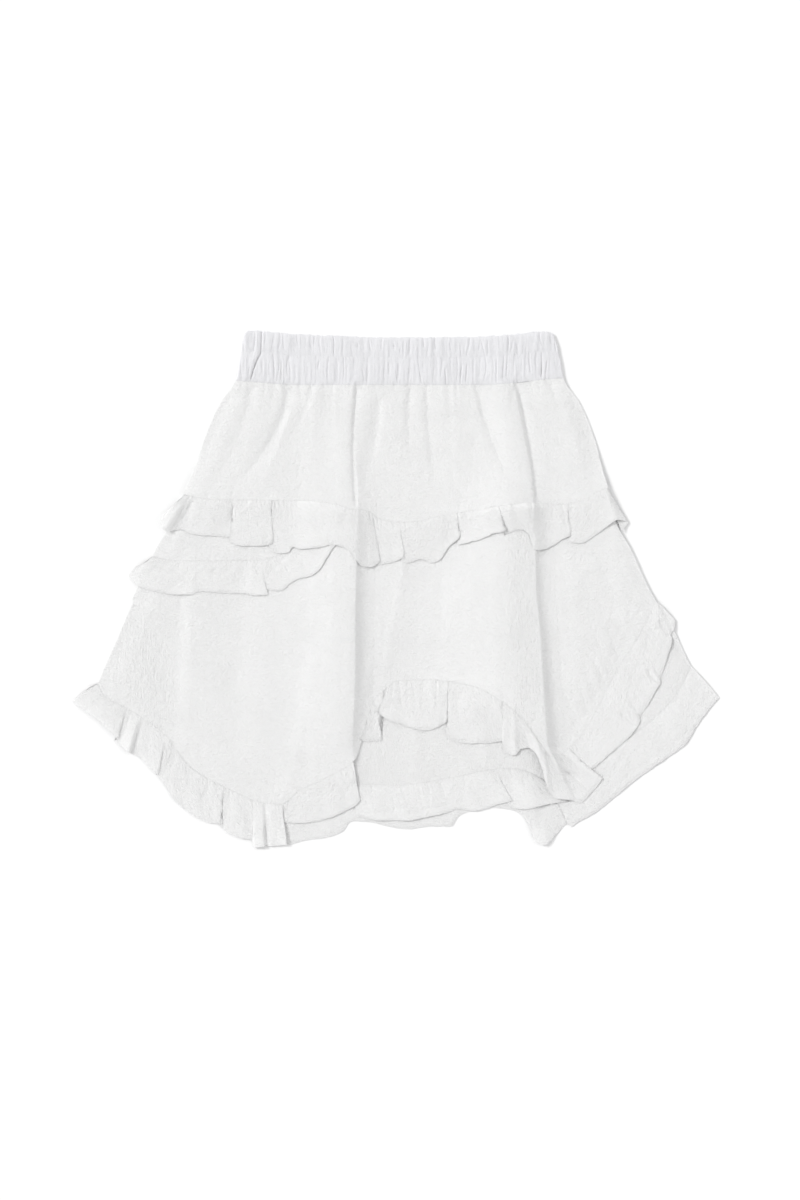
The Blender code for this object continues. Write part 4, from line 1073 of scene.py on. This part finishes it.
class SKIRT_OT_lay_yoke(bpy.types.Operator):
    """Lays the front of the yoke with the folds that spread from its gathers, and the top ruffle"""

    bl_idname = "skirt.lay_yoke"
    bl_label = "Lay yoke"

    def execute(self, context):
        lay_panel(
            "yoke_front", waist_seam, YOKE_SEAM, 92, (85, 75, 40), steps=(0.85, 0.85), folds=YOKE_FOLDS, fade=8,
            reach=12, ticks=1.4, puff=1.6, spans=True,
        )
        lay_ruffle("top_ruffle", "yoke_front", TOP_RUFFLE, folds=TOP_HOLLOWS)
        return {"FINISHED"}


class SKIRT_OT_lay_waistband(bpy.types.Operator):
    """Lays the front of the gathered waistband, with its two channels of elastic"""

    bl_idname = "skirt.lay_waistband"
    bl_label = "Lay waistband"

    def execute(self, context):
        lay_band("waistband_front", (0.5, 0.32), context.scene.skirt_band.gathers, 19, LAID["yoke_front"])
        return {"FINISHED"}


class SKIRT_OT_set_stage(bpy.types.Operator):
    """Sets the camera straight above, the table top, and soft light from the upper left"""

    bl_idname = "skirt.set_stage"
    bl_label = "Set stage"

    def execute(self, context):
        scene, settings = context.scene, context.scene.skirt_stage
        lens = bpy.data.cameras.new("camera above")
        lens.sensor_fit, lens.sensor_height = "VERTICAL", 36
        lens.lens = lens.sensor_height * settings.camera_distance / settings.view_height
        lens.clip_end = 20
        scene.camera = placed("camera above", lens)
        scene.camera.location = (0.003, -0.0073, settings.camera_distance)
        add_table_top(settings.floor_colour)
        add_key_light(settings.key_power, settings.key_softness)
        light_room(settings.ambient, settings.one_sided)
        scene.view_settings.view_transform = "Standard"
        return {"FINISHED"}


def light_room(strength, one_sided):
    """Even white light that grows towards the lower right side of the room."""
    world = bpy.data.worlds.new("soft white room")
    world.use_nodes = True
    tree = world.node_tree
    direction = from_node(tree, "TexCoord", "Generated")
    way = (0.87 * one_sided * strength, -0.5 * one_sided * strength, 0)
    side = from_node(tree, "VectorMath", "Value", {1: way, 0: direction}, operation="DOT_PRODUCT")
    total = combined(tree, "ADD", side, strength)
    fill(tree, tree.nodes["Background"], {"Color": (1, 1, 1, 1), "Strength": total})
    bpy.context.scene.world = world


def add_table_top(colour):
    mesh = bpy.data.meshes.new("table_top")
    half, below = 6.0, -0.0002
    corners = [(-half, -half, below), (half, -half, below), (half, half, below), (-half, half, below)]
    mesh.from_pydata(corners, [], [(0, 1, 2, 3)])
    material, tree, shader = new_material("white table top")
    speckle = noise(tree, from_node(tree, "TexCoord", "Object"), scale=90)
    sockets = {
        "Base Color": tones(tree, speckle, tuple(0.995 * c for c in colour), tuple(colour)),
        "Normal": bumped(tree, speckle, 0.0002, 0.05),
        "Roughness": 0.9,
        "Specular IOR Level": 0.0,
    }
    fill(tree, shader, sockets)
    mesh.materials.append(material)
    placed("table_top", mesh)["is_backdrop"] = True


def add_key_light(power, softness):
    light = bpy.data.lights.new("key light", "SUN")
    light.energy, light.angle = power, softness
    lamp = placed("key light", light)
    lamp.location = (-15.8, 8.4, 16.0)  # only its direction counts
    lamp.rotation_euler = (-lamp.location).to_track_quat("-Z", "Y").to_euler()


OPERATORS = (
    SKIRT_OT_lay_back,
    SKIRT_OT_lay_underskirt,
    SKIRT_OT_lay_overskirt,
    SKIRT_OT_lay_short_tier,
    SKIRT_OT_lay_yoke,
    SKIRT_OT_lay_waistband,
    SKIRT_OT_set_stage,
)
SETTINGS = {"skirt_cloth": SkirtClothSettings, "skirt_band": SkirtBandSettings, "skirt_stage": SkirtStageSettings}


class SKIRT_PT_sidebar(bpy.types.Panel):
    """Lists the skirt's pieces and their sizes and colours"""

    bl_label = "Tiered Ruffle Skirt"
    bl_idname = "SKIRT_PT_sidebar"
    bl_space_type = "VIEW_3D"
    bl_region_type = "UI"
    bl_category = "Skirt"

    def draw(self, context):
        for name, group in SETTINGS.items():
            box = self.layout.box()
            for prop in group.__annotations__:
                box.prop(getattr(context.scene, name), prop)
        column = self.layout.column(align=True)
        for operator in OPERATORS:
            column.operator(operator.bl_idname)


CLASSES = (*SETTINGS.values(), *OPERATORS, SKIRT_PT_sidebar)


def register():
    for item in CLASSES:
        bpy.utils.register_class(item)
    for name, group in SETTINGS.items():
        setattr(bpy.types.Scene, name, PointerProperty(type=group))


def unregister():
    for name in SETTINGS:
        delattr(bpy.types.Scene, name)
    for item in reversed(CLASSES):
        bpy.utils.unregister_class(item)


def main():
    register()
    for operator in OPERATORS:
        group, name = operator.bl_idname.split(".")
        getattr(getattr(bpy.ops, group), name)()
    sizes = {"cad": CAD_BOX, "visual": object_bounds()}
    sizes = {name: [[float(value) for value in corner] for corner in box] for name, box in sizes.items()}


if __name__ == "__main__":
    main()
